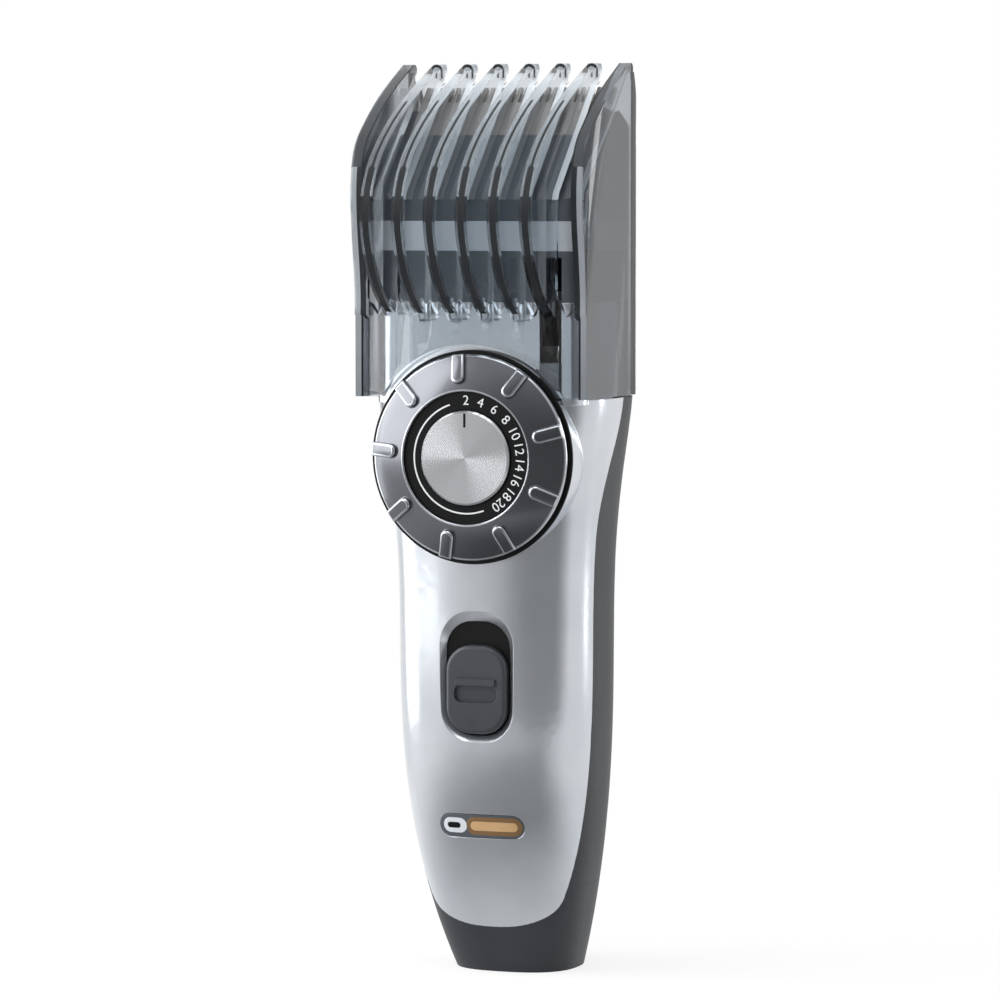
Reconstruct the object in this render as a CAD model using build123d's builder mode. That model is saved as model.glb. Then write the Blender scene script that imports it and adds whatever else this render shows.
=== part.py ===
from build123d import *

import math
import os

# Cordless hair clipper with a guide comb, standing on its foot.
# Millimetres. X is to the right seen from the front, the front faces -Y, Z is up.
# The origin is in the middle of the foot.

# Handle: half widths, front and rear faces at the foot, the grip and the shoulder
HANDLE_HEIGHT = 109.0
GRIP_HEIGHT = 60.0
FOOT_HALF_WIDTH = 11.7
GRIP_HALF_WIDTH = 19.3
SHOULDER_HALF_WIDTH = 23.0
FOOT_FRONT = -10.5
GRIP_FRONT = -23.1
SHOULDER_FRONT = -24.5
FOOT_REAR = 11.0
GRIP_REAR = 9.0
FOOT_SQUARENESS = 2.6
SHOULDER_SQUARENESS = 3.4
FLARE_POWER = 2.4
SECTION_POINTS = 16
STATION_SHARES = (0.0, 0.07, 0.16, 0.28, 0.44, 0.62, 0.8, 1.0)
WALL = 1.8
BASE_HEIGHT = 17.0
FLOOR = 2.2
SPIGOT_HEIGHT = 3.0
SPIGOT_DEPTH = 3.0
SPIGOT_WALL = 1.2

# Parting line of the two shells, seen from the side
PARTING_FOOT = -15.2
PARTING_FOOT_HEIGHT = 6.5
PARTING_GRIP = -12.0
PARTING_HEAD = -6.0
PARTING_STRAIGHT_FROM = 15.0
PARTING_STRAIGHT_TO = 82.0
PARTING_HEAD_RISE = 2.0
SEAL_WIDTH = 0.6
SEAL_DEPTH = 0.6
SEAL_END_GAP = 1.0

# Head inside the comb
HEAD_HALF_WIDTH = 20.8
HEAD_FRONT = -23.4
HEAD_REAR = 7.3
HEAD_CORNER = 4.0
HEAD_WALL = 1.6
NECK_HEIGHT = 18.0
FRAME_HEIGHT = 9.5
FRAME_FLOOR = 2.0
BAND_HEIGHT = 5.5
BAND_WALL = 2.4
HOLDER_HEIGHT = 4.0
HOLDER_KNEE_RISE = 9.0
HOLDER_RIDGE_RISE = 17.5
HOLDER_RIDGE_Y = 1.0
HOLDER_SETBACK = 0.3
HOLDER_KNEE_SETBACK = 1.1
SLOPE_RISE = 21.0
SLOPE_ANGLE = 45.0

# Blades, measured along the sloping face
FIXED_BLADE_LENGTH = 12.7
FIXED_BLADE_HALF_WIDTH = 19.0
FIXED_BLADE_THICKNESS = 1.0
MOVING_BLADE_LENGTH = 8.2
MOVING_BLADE_HALF_WIDTH = 17.0
MOVING_BLADE_THICKNESS = 0.8
MOVING_BLADE_SETBACK = 0.8
BLADE_GAP = 0.05
TOOTH_PITCH = 1.4
TOOTH_SLOT = 0.7
TOOTH_DEPTH = 4.0
BLADE_STROKE = 1.0
CHEEK_WALL = 2.5
SEAT_MARGIN = 1.2
LIP_WIDTH = 1.2
LIP_THICKNESS = 1.0
PAD_THICKNESS = 2.0
PAD_HALF_WIDTH = 9.0
PAD_MARGIN = 0.4
TONGUE_HALF_WIDTH = 4.6
TONGUE_DEPTH = 5.2
LEAF_THICKNESS = 0.4
LEAF_MARGIN = 0.5

# Dial
DIAL_HEIGHT = 98.3
BOSS_RADIUS = 19.6
BOSS_FRONT = -24.5
BOSS_RECESS_RADIUS = 12.9
BOSS_RECESS_DEPTH = 1.0
DIAL_RADIUS = 19.2
DIAL_HOLE_RADIUS = 12.3
DIAL_RIM_THICKNESS = 1.2
DIAL_RISE = 2.4
DIAL_EDGE = 0.4
DIAL_LEDGE = 0.7
DIAL_LEDGE_THICKNESS = 0.5
NUB_COUNT = 9
NUB_TURN = 6.0
NUB_INNER = 13.6
NUB_WIDTH = 2.6
NUB_HEIGHT = 1.0
NUMBER_RECESS = 0.7
CAP_RADIUS = 8.75
CAP_THICKNESS = 3.2
CAP_PROUD = 0.1
STEM_RADIUS = 3.0
DIAL_SCREW_REACH = 4.8
HUB_RADIUS = 8.0
HUB_SEAL_WIDTH = 0.9
HUB_SEAL_DEPTH = 0.9
PINION_MODULE = 0.8
PINION_TEETH = 18
PRESSURE_ANGLE = 20.0
BACKLASH = 0.14
PINION_FRONT = -21.0
PINION_REAR = -16.6

# Carriage that lifts the comb
COMB_TRAVEL = 19.0
RACK_FRONT = -19.2
RACK_REAR = -16.3
RACK_BACK_WIDTH = 4.6
RACK_REACH = 4.2
ARM_CENTRE = 15.0
ARM_WIDTH = 3.6
ARM_DROP = 1.0
ARM_HEIGHT = 7.0
ARM_PROUD = 0.6

# Plate behind the dial
PLATE_FRONT = -15.9
PLATE_THICKNESS = 2.0
PLATE_HALF_WIDTH = 14.6
PLATE_CORNER = 3.0
PLATE_BOTTOM = 66.5
PLATE_RISE = 4.0
GUIDE_WIDTH = 1.2
GUIDE_HEIGHT = 1.7
GUIDE_DROP = 2.0
LUG_WIDTH = 1.5
LUG_HEIGHT = 6.0
LUG_DROP = 17.5
DETENT_WIDTH = 2.0
DETENT_GAP = 1.5
DETENT_OVERHANG = 2.0
DETENT_TIP_HALF_HEIGHT = 0.6
DETENT_TIP_GAP = 0.2
PILLAR_RADIUS = 2.2
PLATE_SCREW_REACH = 3.4
SCREW_RADIUS = 1.0
SCREW_HEAD_RADIUS = 1.9
SCREW_HEAD_HEIGHT = 1.2
PLATE_PILLARS = ((-12.2, 75.5), (-12.2, 109.0), (10.2, 69.4))
SPRING_THICKNESS = 0.3

# Comb
COMB_WALL = 1.6
COMB_CLEARANCE = 0.6
SKIRT_OUT = 2.6
SKIRT_RISE = 1.5
SKIRT_RIDGE_DROP = 1.6
SKIRT_RIDGE_Y = (-3.0, -0.6)
SKIRT_KNEE = (5.4, 18.4)
SKIRT_REAR_DROP = 31.4
APRON_OUT = 3.8
APRON_CURVE = 101.0
APRON_HEIGHT = 20.7
APRON_SLOT = 5.5
ARCH_RADIUS = 21.0
TINE_PITCH = 6.26
TINE_THICKNESS = 2.3
TINE_COUNT = 6
TINE_GAP = 1.2
TINE_LIFT = 0.6
TINE_BEND = 4.0
TINE_TIP = 2.0
TINE_FOOT_DROP = 47.8
TINE_TIP_RISE = 4.4
KEY_HEIGHT = 3.0
KEY_GAP = 0.25
# Outer edges of an inner tine and of an end panel: reach in front of the head and drop below the tip
TINE_EDGE = ((-8.4, 5.4), (4.6, 12.8), (12.6, 20.4), (15.3, 27.9), (14.2, 34.0), (10.4, 40.8), (3.0, 46.8))
PANEL_EDGE = ((-9.6, 5.8), (-1.4, 11.4), (3.4, 16.4), (4.6, 20.4), (4.2, 33.0), (3.0, 46.8))

# Switch
SWITCH_HEIGHT = 56.8
SWITCH_OPENING = (12.7, 21.4)
SWITCH_CORNER = 5.2
SWITCH_BEVEL = (1.4, 2.2)
SWITCH_BEVEL_DEPTH = 1.3
SWITCH_PLATE_DEPTH = 1.5
SWITCH_FLANGE_DEPTH = 3.3
SWITCH_FLANGE_THICKNESS = 1.2
SWITCH_FLANGE_MARGIN = 1.6
SWITCH_TRAVEL = 4.0
KNOB_SIZE = (12.0, 16.6)
KNOB_PROUD = 0.4
KNOB_EDGE = 0.8
KNOB_STEM = (2.6, 4.0)
THUMB_SCOOP = (8.4, 3.2)
THUMB_SCOOP_CORNER = 1.2
THUMB_SCOOP_DEPTH = 0.7
THUMB_SCOOP_DROP = 0.8
THUMB_RIDGE = (8.0, 1.2)
THUMB_RIDGE_PROUD = 0.5
SLIDER_SIZE = (10.0, 8.0)
SLIDER_THICKNESS = 1.4
TAB_LENGTH = 1.2
TAB_HALF_WIDTH = 0.9
TAB_HALF_HEIGHT = 1.5
SWITCH_BODY = (8.0, 14.0)

# Charging light
LIGHT_HEIGHT = 28.9
LENS_LENGTH = 16.7
LENS_WIDTH = 4.4
LENS_REAR = -18.2
LED_RADIUS = 1.5

# Circuit board and battery
BOARD_FRONT = -14.8
BOARD_THICKNESS = 1.6
BOARD_HALF_WIDTH = 8.0
BOARD_BOTTOM = 20.5
BOARD_TOP = 65.5
BOARD_CORNER = 1.0
BOARD_PILLAR_RADIUS = 1.7
BOARD_PILLAR_HEIGHTS = (22.6, 39.5)
CELL_RADIUS = 7.25
CELL_LENGTH = 50.0
CELL_BOTTOM = 20.0
CELL_BUTTON_RADIUS = 2.75
CELL_BUTTON_HEIGHT = 1.5
SADDLE_FRONT = 1.8
SADDLE_RISE = 8.0
SADDLE_DROP = 10.0
CONTACT_THICKNESS = 0.5
CONTACT_WIDTH = 5.0
CONTACT_REAR = 3.0
CONTACT_TAIL = 4.0

# Charging inlet in the foot
INLET_LENGTH = 9.4
INLET_WIDTH = 5.6
INLET_DEPTH = 9.5
SOCKET_WALL = 1.5
SOCKET_ROOF = 3.0
PIN_RADIUS = 0.8
PIN_SPACING = 4.6
PIN_TIP = 5.6
PIN_TAIL = 2.0

# Motor
MOTOR_Y = -4.0
MOTOR_RADIUS = 9.0
MOTOR_LENGTH = 27.0
MOTOR_SCREW_X = 5.0
MOTOR_SCREW_HEAD_RADIUS = 1.6
MOTOR_SCREW_HEAD_HEIGHT = 1.0
CAN_WALL = 0.8
CAN_ROOF = 1.6
END_CAP_HEIGHT = 2.0
NOSE_RADIUS = 3.0
NOSE_HEIGHT = 1.6
SHAFT_RADIUS = 1.0
ROTOR_RADIUS = 6.6
ROTOR_BOTTOM_GAP = 5.0
ROTOR_TOP_GAP = 4.0
MAGNET_THICKNESS = 0.9
MAGNET_RISE = 6.0
MAGNET_LENGTH = 14.0
MAGNET_SPLIT = 4.0
CRADLE_WALL = 1.4
CRADLE_FLOOR = 1.6
CRADLE_HEIGHT = 4.0
CRADLE_FOOT_HALF_WIDTH = 6.0
CRADLE_LEDGE = 2.0
CAM_RADIUS = 3.4
CAM_GAP = 2.0
CAM_HEIGHT = 2.8
CAM_ROOF = 0.4
CRANK_RADIUS = 1.0
CRANK_PIN_RADIUS = 1.0
CRANK_PIN_LENGTH = 5.2

# Shell screws
SHELL_SCREW_X = 11.8
SHELL_SCREW_HEIGHT = 46.0
SHELL_SCREW_JOINT = 0.0
SHELL_SCREW_HEAD_DEPTH = 3.0
SHELL_SCREW_REACH = 7.0

# Fits
FIT = 0.1
RUNNING_FIT = 0.05
CLEARANCE = 0.3

# Cuts: how far they run past a face, and how far they reach to span the whole clipper
OVERRUN = 5.0
REACH = 60.0

# Heights that follow from these
SHELL_TOP = HANDLE_HEIGHT + NECK_HEIGHT
FRAME_TOP = SHELL_TOP + FRAME_HEIGHT
BAND_TOP = FRAME_TOP + BAND_HEIGHT
SLOPE_START = BAND_TOP + HOLDER_HEIGHT
BLADE_TIP_HEIGHT = SLOPE_START + SLOPE_RISE
COMB_TIP_HEIGHT = BLADE_TIP_HEIGHT + TINE_TIP_RISE
COMB_BOTTOM = HANDLE_HEIGHT + CLEARANCE
ARM_TOP = HANDLE_HEIGHT + ARM_HEIGHT
ARM_FRONT = HEAD_FRONT - ARM_PROUD
MOTOR_BOTTOM = SHELL_TOP - MOTOR_LENGTH
CAM_BOTTOM = SHELL_TOP + FRAME_FLOOR + CAM_GAP
CAM_TOP = CAM_BOTTOM + CAM_HEIGHT
CRANK_PIN_TOP = CAM_TOP + CRANK_PIN_LENGTH

os.makedirs("parts", exist_ok=True)


# Shapes shared by several pieces


def front_plane(y):
    """Plane at depth y whose sketches are drawn in X and Z and face the front."""
    return Plane.XZ.offset(-y)


def block(x, y, z, mode=Mode.ADD):
    """Box between pairs of limits."""
    with Locations(((x[0] + x[1]) / 2, (y[0] + y[1]) / 2, (z[0] + z[1]) / 2)):
        Box(x[1] - x[0], y[1] - y[0], z[1] - z[0], mode=mode)


def keep_between(z_from, z_to):
    """Cut away what lies below or above two heights."""
    block((-REACH, REACH), (-REACH, REACH), (z_from, z_to), mode=Mode.INTERSECT)


def rod(radius, y_from, y_to, x=0.0, z=0.0, mode=Mode.ADD):
    """Round bar along Y."""
    with BuildSketch(front_plane(y_from)) as profile:
        with Locations((x, z)):
            Circle(radius)
    extrude(profile.sketch, amount=y_from - y_to, mode=mode)


def post(radius, z_from, z_to, x=0.0, y=0.0, mode=Mode.ADD):
    """Round bar along Z."""
    with BuildSketch(Plane.XY.offset(z_from)) as profile:
        with Locations((x, y)):
            Circle(radius)
    extrude(profile.sketch, amount=z_to - z_from, mode=mode)


def half_width(z):
    """Half width of the handle at height z."""
    if z < GRIP_HEIGHT:
        return GRIP_HALF_WIDTH - (GRIP_HALF_WIDTH - FOOT_HALF_WIDTH) * (1 - z / GRIP_HEIGHT) ** FLARE_POWER
    share = (z - GRIP_HEIGHT) / (HANDLE_HEIGHT - GRIP_HEIGHT)
    return GRIP_HALF_WIDTH + (SHOULDER_HALF_WIDTH - GRIP_HALF_WIDTH) * share**FLARE_POWER


def front_face(z):
    """Depth of the front of the handle at height z."""
    if z < GRIP_HEIGHT:
        return GRIP_FRONT - (GRIP_FRONT - FOOT_FRONT) * (1 - z / GRIP_HEIGHT) ** FLARE_POWER
    share = (z - GRIP_HEIGHT) / (HANDLE_HEIGHT - GRIP_HEIGHT)
    return GRIP_FRONT + (SHOULDER_FRONT - GRIP_FRONT) * share**FLARE_POWER


def rear_face(z):
    """Depth of the back of the handle at height z."""
    return GRIP_REAR + (FOOT_REAR - GRIP_REAR) * (1 - z / HANDLE_HEIGHT) ** FLARE_POWER


def section_points(z, inset):
    """Points of the rounded section of the handle from the middle of its back, drawn in by inset."""
    width = half_width(z) - inset
    depth = (rear_face(z) - front_face(z)) / 2 - inset
    middle = (rear_face(z) + front_face(z)) / 2
    power = 2 / (FOOT_SQUARENESS + (SHOULDER_SQUARENESS - FOOT_SQUARENESS) * z / HANDLE_HEIGHT)
    points = []
    for step in range(SECTION_POINTS):
        angle = math.pi / 2 + 2 * math.pi * step / SECTION_POINTS
        x = width * math.copysign(abs(math.cos(angle)) ** power, math.cos(angle))
        y = depth * math.copysign(abs(math.sin(angle)) ** power, math.sin(angle))
        points.append((x, middle + y))
    return points


def handle_solid(inset):
    """Solid of the whole handle, drawn in by inset."""
    with BuildPart() as solid:
        for share in STATION_SHARES:
            z = share * HANDLE_HEIGHT
            with BuildSketch(Plane.XY.offset(z)):
                with BuildLine():
                    Spline(*section_points(z, inset), periodic=True)
                make_face()
        loft()
    return solid.part


def section_prism(z, inset, z_from, z_to):
    """Upright solid of the handle's section at height z, drawn in by inset."""
    with BuildPart() as solid:
        with BuildSketch(Plane.XY.offset(z_from)):
            with BuildLine():
                Spline(*section_points(z, inset), periodic=True)
            make_face()
        extrude(amount=z_to - z_from)
    return solid.part


def head_solid(inset, z_from, z_to):
    """Upright solid of the head: square at the front, half an ellipse at the back, drawn in by inset."""
    width = HEAD_HALF_WIDTH - inset
    front = HEAD_FRONT + inset
    with BuildPart() as solid:
        with BuildSketch(Plane.XY.offset(z_from)) as outline:
            with BuildLine():
                Polyline((-width, 0), (-width, front), (width, front), (width, 0))
                EllipticalCenterArc((0, 0), width, HEAD_REAR - inset, 0, arc_size=180)
            make_face()
            fillet(outline.vertices().group_by(Axis.Y)[0], HEAD_CORNER - inset)
        extrude(amount=z_to - z_from)
    return solid.part


def behind_parting(shift):
    """Space behind the parting line, moved back by shift."""
    with BuildPart() as solid:
        with BuildSketch(Plane.YZ):
            with BuildLine():
                foot = PARTING_FOOT + shift
                grip = PARTING_GRIP + shift
                head = PARTING_HEAD + shift
                low = Line((foot, -OVERRUN), (foot, PARTING_FOOT_HEIGHT))
                straight = Line((grip, PARTING_STRAIGHT_FROM), (grip, PARTING_STRAIGHT_TO))
                high = Line((head, HANDLE_HEIGHT + PARTING_HEAD_RISE), (head, SHELL_TOP + OVERRUN))
                Spline(low @ 1, straight @ 0, tangents=(low % 1, straight % 0))
                Spline(straight @ 1, high @ 0, tangents=(straight % 1, high % 0))
                Polyline(high @ 1, (REACH, SHELL_TOP + OVERRUN), (REACH, -OVERRUN), low @ 0)
            make_face()
        extrude(amount=REACH, both=True)
    return solid.part


CAVITY_TOP = HANDLE_HEIGHT - WALL
HANDLE = handle_solid(0)
HANDLE_INSIDE = handle_solid(WALL)
SHELL_HEAD = head_solid(0, HANDLE_HEIGHT - WALL / 2, SHELL_TOP)
HEAD_INSIDE = head_solid(HEAD_WALL, CAVITY_TOP - WALL, SHELL_TOP + OVERRUN)
BEHIND = behind_parting(0)
with BuildPart() as cavity_builder:
    add(HANDLE_INSIDE)
    keep_between(FLOOR, CAVITY_TOP)
    add(HEAD_INSIDE)
CAVITY = cavity_builder.part
with BuildPart() as outside_builder:
    add(HANDLE)
    add(SHELL_HEAD)
OUTSIDE = outside_builder.part
BLADE_TIP_Y = HEAD_FRONT + SLOPE_RISE / math.tan(math.radians(SLOPE_ANGLE))
SLOPE_COS = math.cos(math.radians(SLOPE_ANGLE))
SLOPE_SIN = math.sin(math.radians(SLOPE_ANGLE))
BLADE_PLANE = Plane(
    origin=(0, BLADE_TIP_Y, BLADE_TIP_HEIGHT), x_dir=(1, 0, 0), z_dir=(0, -SLOPE_SIN, SLOPE_COS)
)
PITCH_RADIUS = PINION_MODULE * PINION_TEETH / 2
RACK_TIP_X = PITCH_RADIUS - PINION_MODULE
RACK_ROOT_X = PITCH_RADIUS + 1.25 * PINION_MODULE
RACK_BACK_X = RACK_ROOT_X + RACK_BACK_WIDTH
RACK_TOP = DIAL_HEIGHT + RACK_REACH
RACK_BOTTOM = DIAL_HEIGHT - RACK_REACH - COMB_TRAVEL
DIAL_REAR = BOSS_FRONT - 2 * FIT
DIAL_SEAT = DIAL_REAR - DIAL_LEDGE_THICKNESS
DIAL_RIM_FRONT = DIAL_SEAT - DIAL_RIM_THICKNESS
DIAL_FRONT = DIAL_RIM_FRONT - DIAL_RISE
ARM_SIDES = (ARM_CENTRE - ARM_WIDTH / 2, ARM_CENTRE + ARM_WIDTH / 2)
SLOT_SIDES = (ARM_SIDES[0] - CLEARANCE, ARM_SIDES[1] + CLEARANCE)
SLOT_TOP = ARM_TOP + COMB_TRAVEL + CLEARANCE
PLATE_REAR = PLATE_FRONT + PLATE_THICKNESS
PLATE_TOP = HANDLE_HEIGHT + PLATE_RISE
KNOB_CENTRE = SWITCH_HEIGHT - SWITCH_TRAVEL / 2
SWITCH_PLATE_FRONT = GRIP_FRONT + SWITCH_PLATE_DEPTH
SWITCH_FLANGE_FRONT = GRIP_FRONT + SWITCH_FLANGE_DEPTH
KNOB_FRONT = GRIP_FRONT - KNOB_PROUD
CHEEK_INSIDE = HEAD_HALF_WIDTH - CHEEK_WALL
BOARD_REAR = BOARD_FRONT + BOARD_THICKNESS
CELL_TOP = CELL_BOTTOM + CELL_LENGTH


def on_slope(along, out):
    """Depth and height of a point given along and out of the sloping face, from the blade's tip."""
    y = BLADE_TIP_Y + along * SLOPE_COS - out * SLOPE_SIN
    z = BLADE_TIP_HEIGHT + along * SLOPE_SIN + out * SLOPE_COS
    return (y, z)


def opening(margin, y_from, y_to, mode):
    """Rounded opening of the switch, with a margin all round."""
    width = SWITCH_OPENING[0] + 2 * margin
    height = SWITCH_OPENING[1] + 2 * margin
    with BuildSketch(front_plane(y_from)) as profile:
        with Locations((0, SWITCH_HEIGHT)):
            RectangleRounded(width, height, SWITCH_CORNER + margin)
    extrude(profile.sketch, amount=y_from - y_to, mode=mode)


# Front shell, with the boss of the dial, the openings and the pillars inside
BOARD_PILLAR_X = BOARD_HALF_WIDTH - PILLAR_RADIUS
SHELL_SCREW_TIP = SHELL_SCREW_JOINT - SHELL_SCREW_REACH
SHELL_SCREW_SEAT = SHELL_SCREW_JOINT + SHELL_SCREW_HEAD_DEPTH
PLATE_SCREW_TIP = PLATE_FRONT - PLATE_SCREW_REACH
with BuildPart() as front_pillars:
    for x, z in PLATE_PILLARS:
        rod(PILLAR_RADIUS, PLATE_FRONT, SHOULDER_FRONT + WALL / 2, x, z)
    for x in (-BOARD_PILLAR_X, BOARD_PILLAR_X):
        for z in BOARD_PILLAR_HEIGHTS:
            rod(BOARD_PILLAR_RADIUS, BOARD_FRONT, front_face(z) + WALL / 2, x, z)
    for x in (-SHELL_SCREW_X, SHELL_SCREW_X):
        rod(PILLAR_RADIUS, SHELL_SCREW_JOINT, SHOULDER_FRONT + WALL / 2, x, SHELL_SCREW_HEIGHT)
    add(OUTSIDE, mode=Mode.INTERSECT)
with BuildPart() as front_shell:
    add(OUTSIDE)
    rod(BOSS_RADIUS, PARTING_GRIP, BOSS_FRONT, z=DIAL_HEIGHT)
    add(CAVITY, mode=Mode.SUBTRACT)
    add(BEHIND, mode=Mode.SUBTRACT)
    add(front_pillars.part)
    past_tip = SHELL_SCREW_TIP - CLEARANCE
    for x in (-SHELL_SCREW_X, SHELL_SCREW_X):
        rod(SCREW_RADIUS, SHELL_SCREW_JOINT, past_tip, x, SHELL_SCREW_HEIGHT, Mode.SUBTRACT)
    for x, z in PLATE_PILLARS:
        rod(SCREW_RADIUS, PLATE_FRONT, PLATE_SCREW_TIP - CLEARANCE, x, z, Mode.SUBTRACT)
    past_boss = BOSS_FRONT - OVERRUN
    rod(BOSS_RECESS_RADIUS, BOSS_FRONT + BOSS_RECESS_DEPTH, past_boss, z=DIAL_HEIGHT, mode=Mode.SUBTRACT)
    rod(HUB_RADIUS + FIT, PINION_REAR, past_boss, z=DIAL_HEIGHT, mode=Mode.SUBTRACT)
    opening(0, SWITCH_FLANGE_FRONT, GRIP_FRONT - OVERRUN, Mode.SUBTRACT)
    with BuildSketch(front_plane(GRIP_FRONT - 2 * FIT)):
        with Locations((0, SWITCH_HEIGHT)):
            bevel_width = SWITCH_OPENING[0] + 2 * SWITCH_BEVEL[0]
            bevel_height = SWITCH_OPENING[1] + 2 * SWITCH_BEVEL[1]
            RectangleRounded(bevel_width, bevel_height, SWITCH_CORNER + SWITCH_BEVEL[0])
    with BuildSketch(front_plane(GRIP_FRONT + SWITCH_BEVEL_DEPTH)):
        with Locations((0, SWITCH_HEIGHT)):
            RectangleRounded(*SWITCH_OPENING, SWITCH_CORNER)
    loft(mode=Mode.SUBTRACT)
    with BuildSketch(front_plane(LENS_REAR + FIT)):
        with Locations((0, LIGHT_HEIGHT)):
            SlotOverall(LENS_LENGTH + 2 * FIT, LENS_WIDTH + 2 * FIT)
    extrude(amount=LENS_REAR + FIT - GRIP_FRONT + OVERRUN, mode=Mode.SUBTRACT)
    slot_depth = (HEAD_FRONT - OVERRUN, RACK_REAR + CLEARANCE)
    block(SLOT_SIDES, slot_depth, (HANDLE_HEIGHT, SHELL_TOP + OVERRUN), mode=Mode.SUBTRACT)
front_shell.part.label = "front_shell"
export_step(front_shell.part, "parts/front_shell.step")

# Seal strips in the parting line
seal_outside = handle_solid(SEAL_DEPTH)
seal_inside = handle_solid(2 * SEAL_DEPTH)
behind_seal = behind_parting(SEAL_WIDTH)
with BuildPart() as shell_seal:
    add(seal_outside)
    add(seal_inside, mode=Mode.SUBTRACT)
    add(BEHIND, mode=Mode.INTERSECT)
    add(behind_seal, mode=Mode.SUBTRACT)
    keep_between(BASE_HEIGHT + SEAL_END_GAP, CAVITY_TOP - SEAL_END_GAP)
shell_seal.part.label = "shell_seal"
export_step(shell_seal.part, "parts/shell_seal.step")

# Rear shell, with saddles for the battery and screw pillars
with BuildPart() as rear_ribs:
    for z in (CELL_BOTTOM + SADDLE_RISE, CELL_TOP - SADDLE_DROP):
        block((-CELL_RADIUS, CELL_RADIUS), (SADDLE_FRONT, FOOT_REAR), (z, z + WALL))
    for x in (-SHELL_SCREW_X, SHELL_SCREW_X):
        rod(SCREW_HEAD_RADIUS + WALL / 2, FOOT_REAR, SHELL_SCREW_JOINT, x, SHELL_SCREW_HEIGHT)
    add(OUTSIDE, mode=Mode.INTERSECT)
with BuildPart() as rear_shell:
    add(OUTSIDE)
    add(CAVITY, mode=Mode.SUBTRACT)
    add(BEHIND, mode=Mode.INTERSECT)
    keep_between(BASE_HEIGHT, SHELL_TOP)
    add(shell_seal.part, mode=Mode.SUBTRACT)
    add(rear_ribs.part)
    post(CELL_RADIUS + FIT, CELL_BOTTOM, CELL_TOP, mode=Mode.SUBTRACT)
    past_rear = FOOT_REAR + OVERRUN
    for x in (-SHELL_SCREW_X, SHELL_SCREW_X):
        rod(SCREW_RADIUS + FIT, past_rear, SHELL_SCREW_JOINT, x, SHELL_SCREW_HEIGHT, Mode.SUBTRACT)
        rod(SCREW_HEAD_RADIUS + FIT, past_rear, SHELL_SCREW_SEAT, x, SHELL_SCREW_HEIGHT, Mode.SUBTRACT)
rear_shell.part.label = "rear_shell"
export_step(rear_shell.part, "parts/rear_shell.step")

# Screws that pull the two shells together
with BuildPart() as shell_screws:
    for x in (-SHELL_SCREW_X, SHELL_SCREW_X):
        rod(SCREW_RADIUS, SHELL_SCREW_SEAT, SHELL_SCREW_TIP, x, SHELL_SCREW_HEIGHT)
        rod(SCREW_HEAD_RADIUS, SHELL_SCREW_SEAT + SCREW_HEAD_HEIGHT, SHELL_SCREW_SEAT, x, SHELL_SCREW_HEIGHT)
shell_screws.part.label = "shell_screws"
export_step(shell_screws.part, "parts/shell_screws.step")

# Base cap with the mouth of the charging inlet and a spigot inside the rear shell
spigot_top = BASE_HEIGHT + SPIGOT_HEIGHT
spigot_outside = section_prism(BASE_HEIGHT, WALL + FIT, BASE_HEIGHT, spigot_top)
spigot_root = section_prism(BASE_HEIGHT, WALL / 2, BASE_HEIGHT - SPIGOT_DEPTH, BASE_HEIGHT)
spigot_inside = section_prism(BASE_HEIGHT, WALL + FIT + SPIGOT_WALL, BASE_HEIGHT - SPIGOT_DEPTH, spigot_top)
behind_spigot = behind_parting(CLEARANCE)
with BuildPart() as spigot:
    add(spigot_outside)
    add(spigot_root)
    add(spigot_inside, mode=Mode.SUBTRACT)
    add(behind_spigot, mode=Mode.INTERSECT)
with BuildPart() as base_cap:
    add(HANDLE)
    keep_between(-OVERRUN, BASE_HEIGHT)
    add(CAVITY, mode=Mode.SUBTRACT)
    add(BEHIND, mode=Mode.INTERSECT)
    add(spigot.part)
    with BuildSketch(Plane.XY):
        SlotOverall(INLET_LENGTH, INLET_WIDTH)
    extrude(amount=FLOOR, mode=Mode.SUBTRACT)
base_cap.part.label = "base_cap"
export_step(base_cap.part, "parts/base_cap.step")

# Charging socket and its pins
SOCKET_TOP = INLET_DEPTH + SOCKET_ROOF
with BuildPart() as charging_socket:
    with BuildSketch(Plane.XY.offset(FLOOR)):
        SlotOverall(INLET_LENGTH + 2 * SOCKET_WALL, INLET_WIDTH + 2 * SOCKET_WALL)
    extrude(amount=SOCKET_TOP - FLOOR)
    with BuildSketch(Plane.XY.offset(FLOOR)):
        SlotOverall(INLET_LENGTH, INLET_WIDTH)
    extrude(amount=INLET_DEPTH - FLOOR, mode=Mode.SUBTRACT)
    for x in (-PIN_SPACING / 2, PIN_SPACING / 2):
        post(PIN_RADIUS, INLET_DEPTH, SOCKET_TOP, x, mode=Mode.SUBTRACT)
charging_socket.part.label = "charging_socket"
export_step(charging_socket.part, "parts/charging_socket.step")

with BuildPart() as socket_pins:
    for x in (-PIN_SPACING / 2, PIN_SPACING / 2):
        post(PIN_RADIUS, PIN_TIP, SOCKET_TOP + PIN_TAIL, x)
socket_pins.part.label = "socket_pins"
export_step(socket_pins.part, "parts/socket_pins.step")

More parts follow.
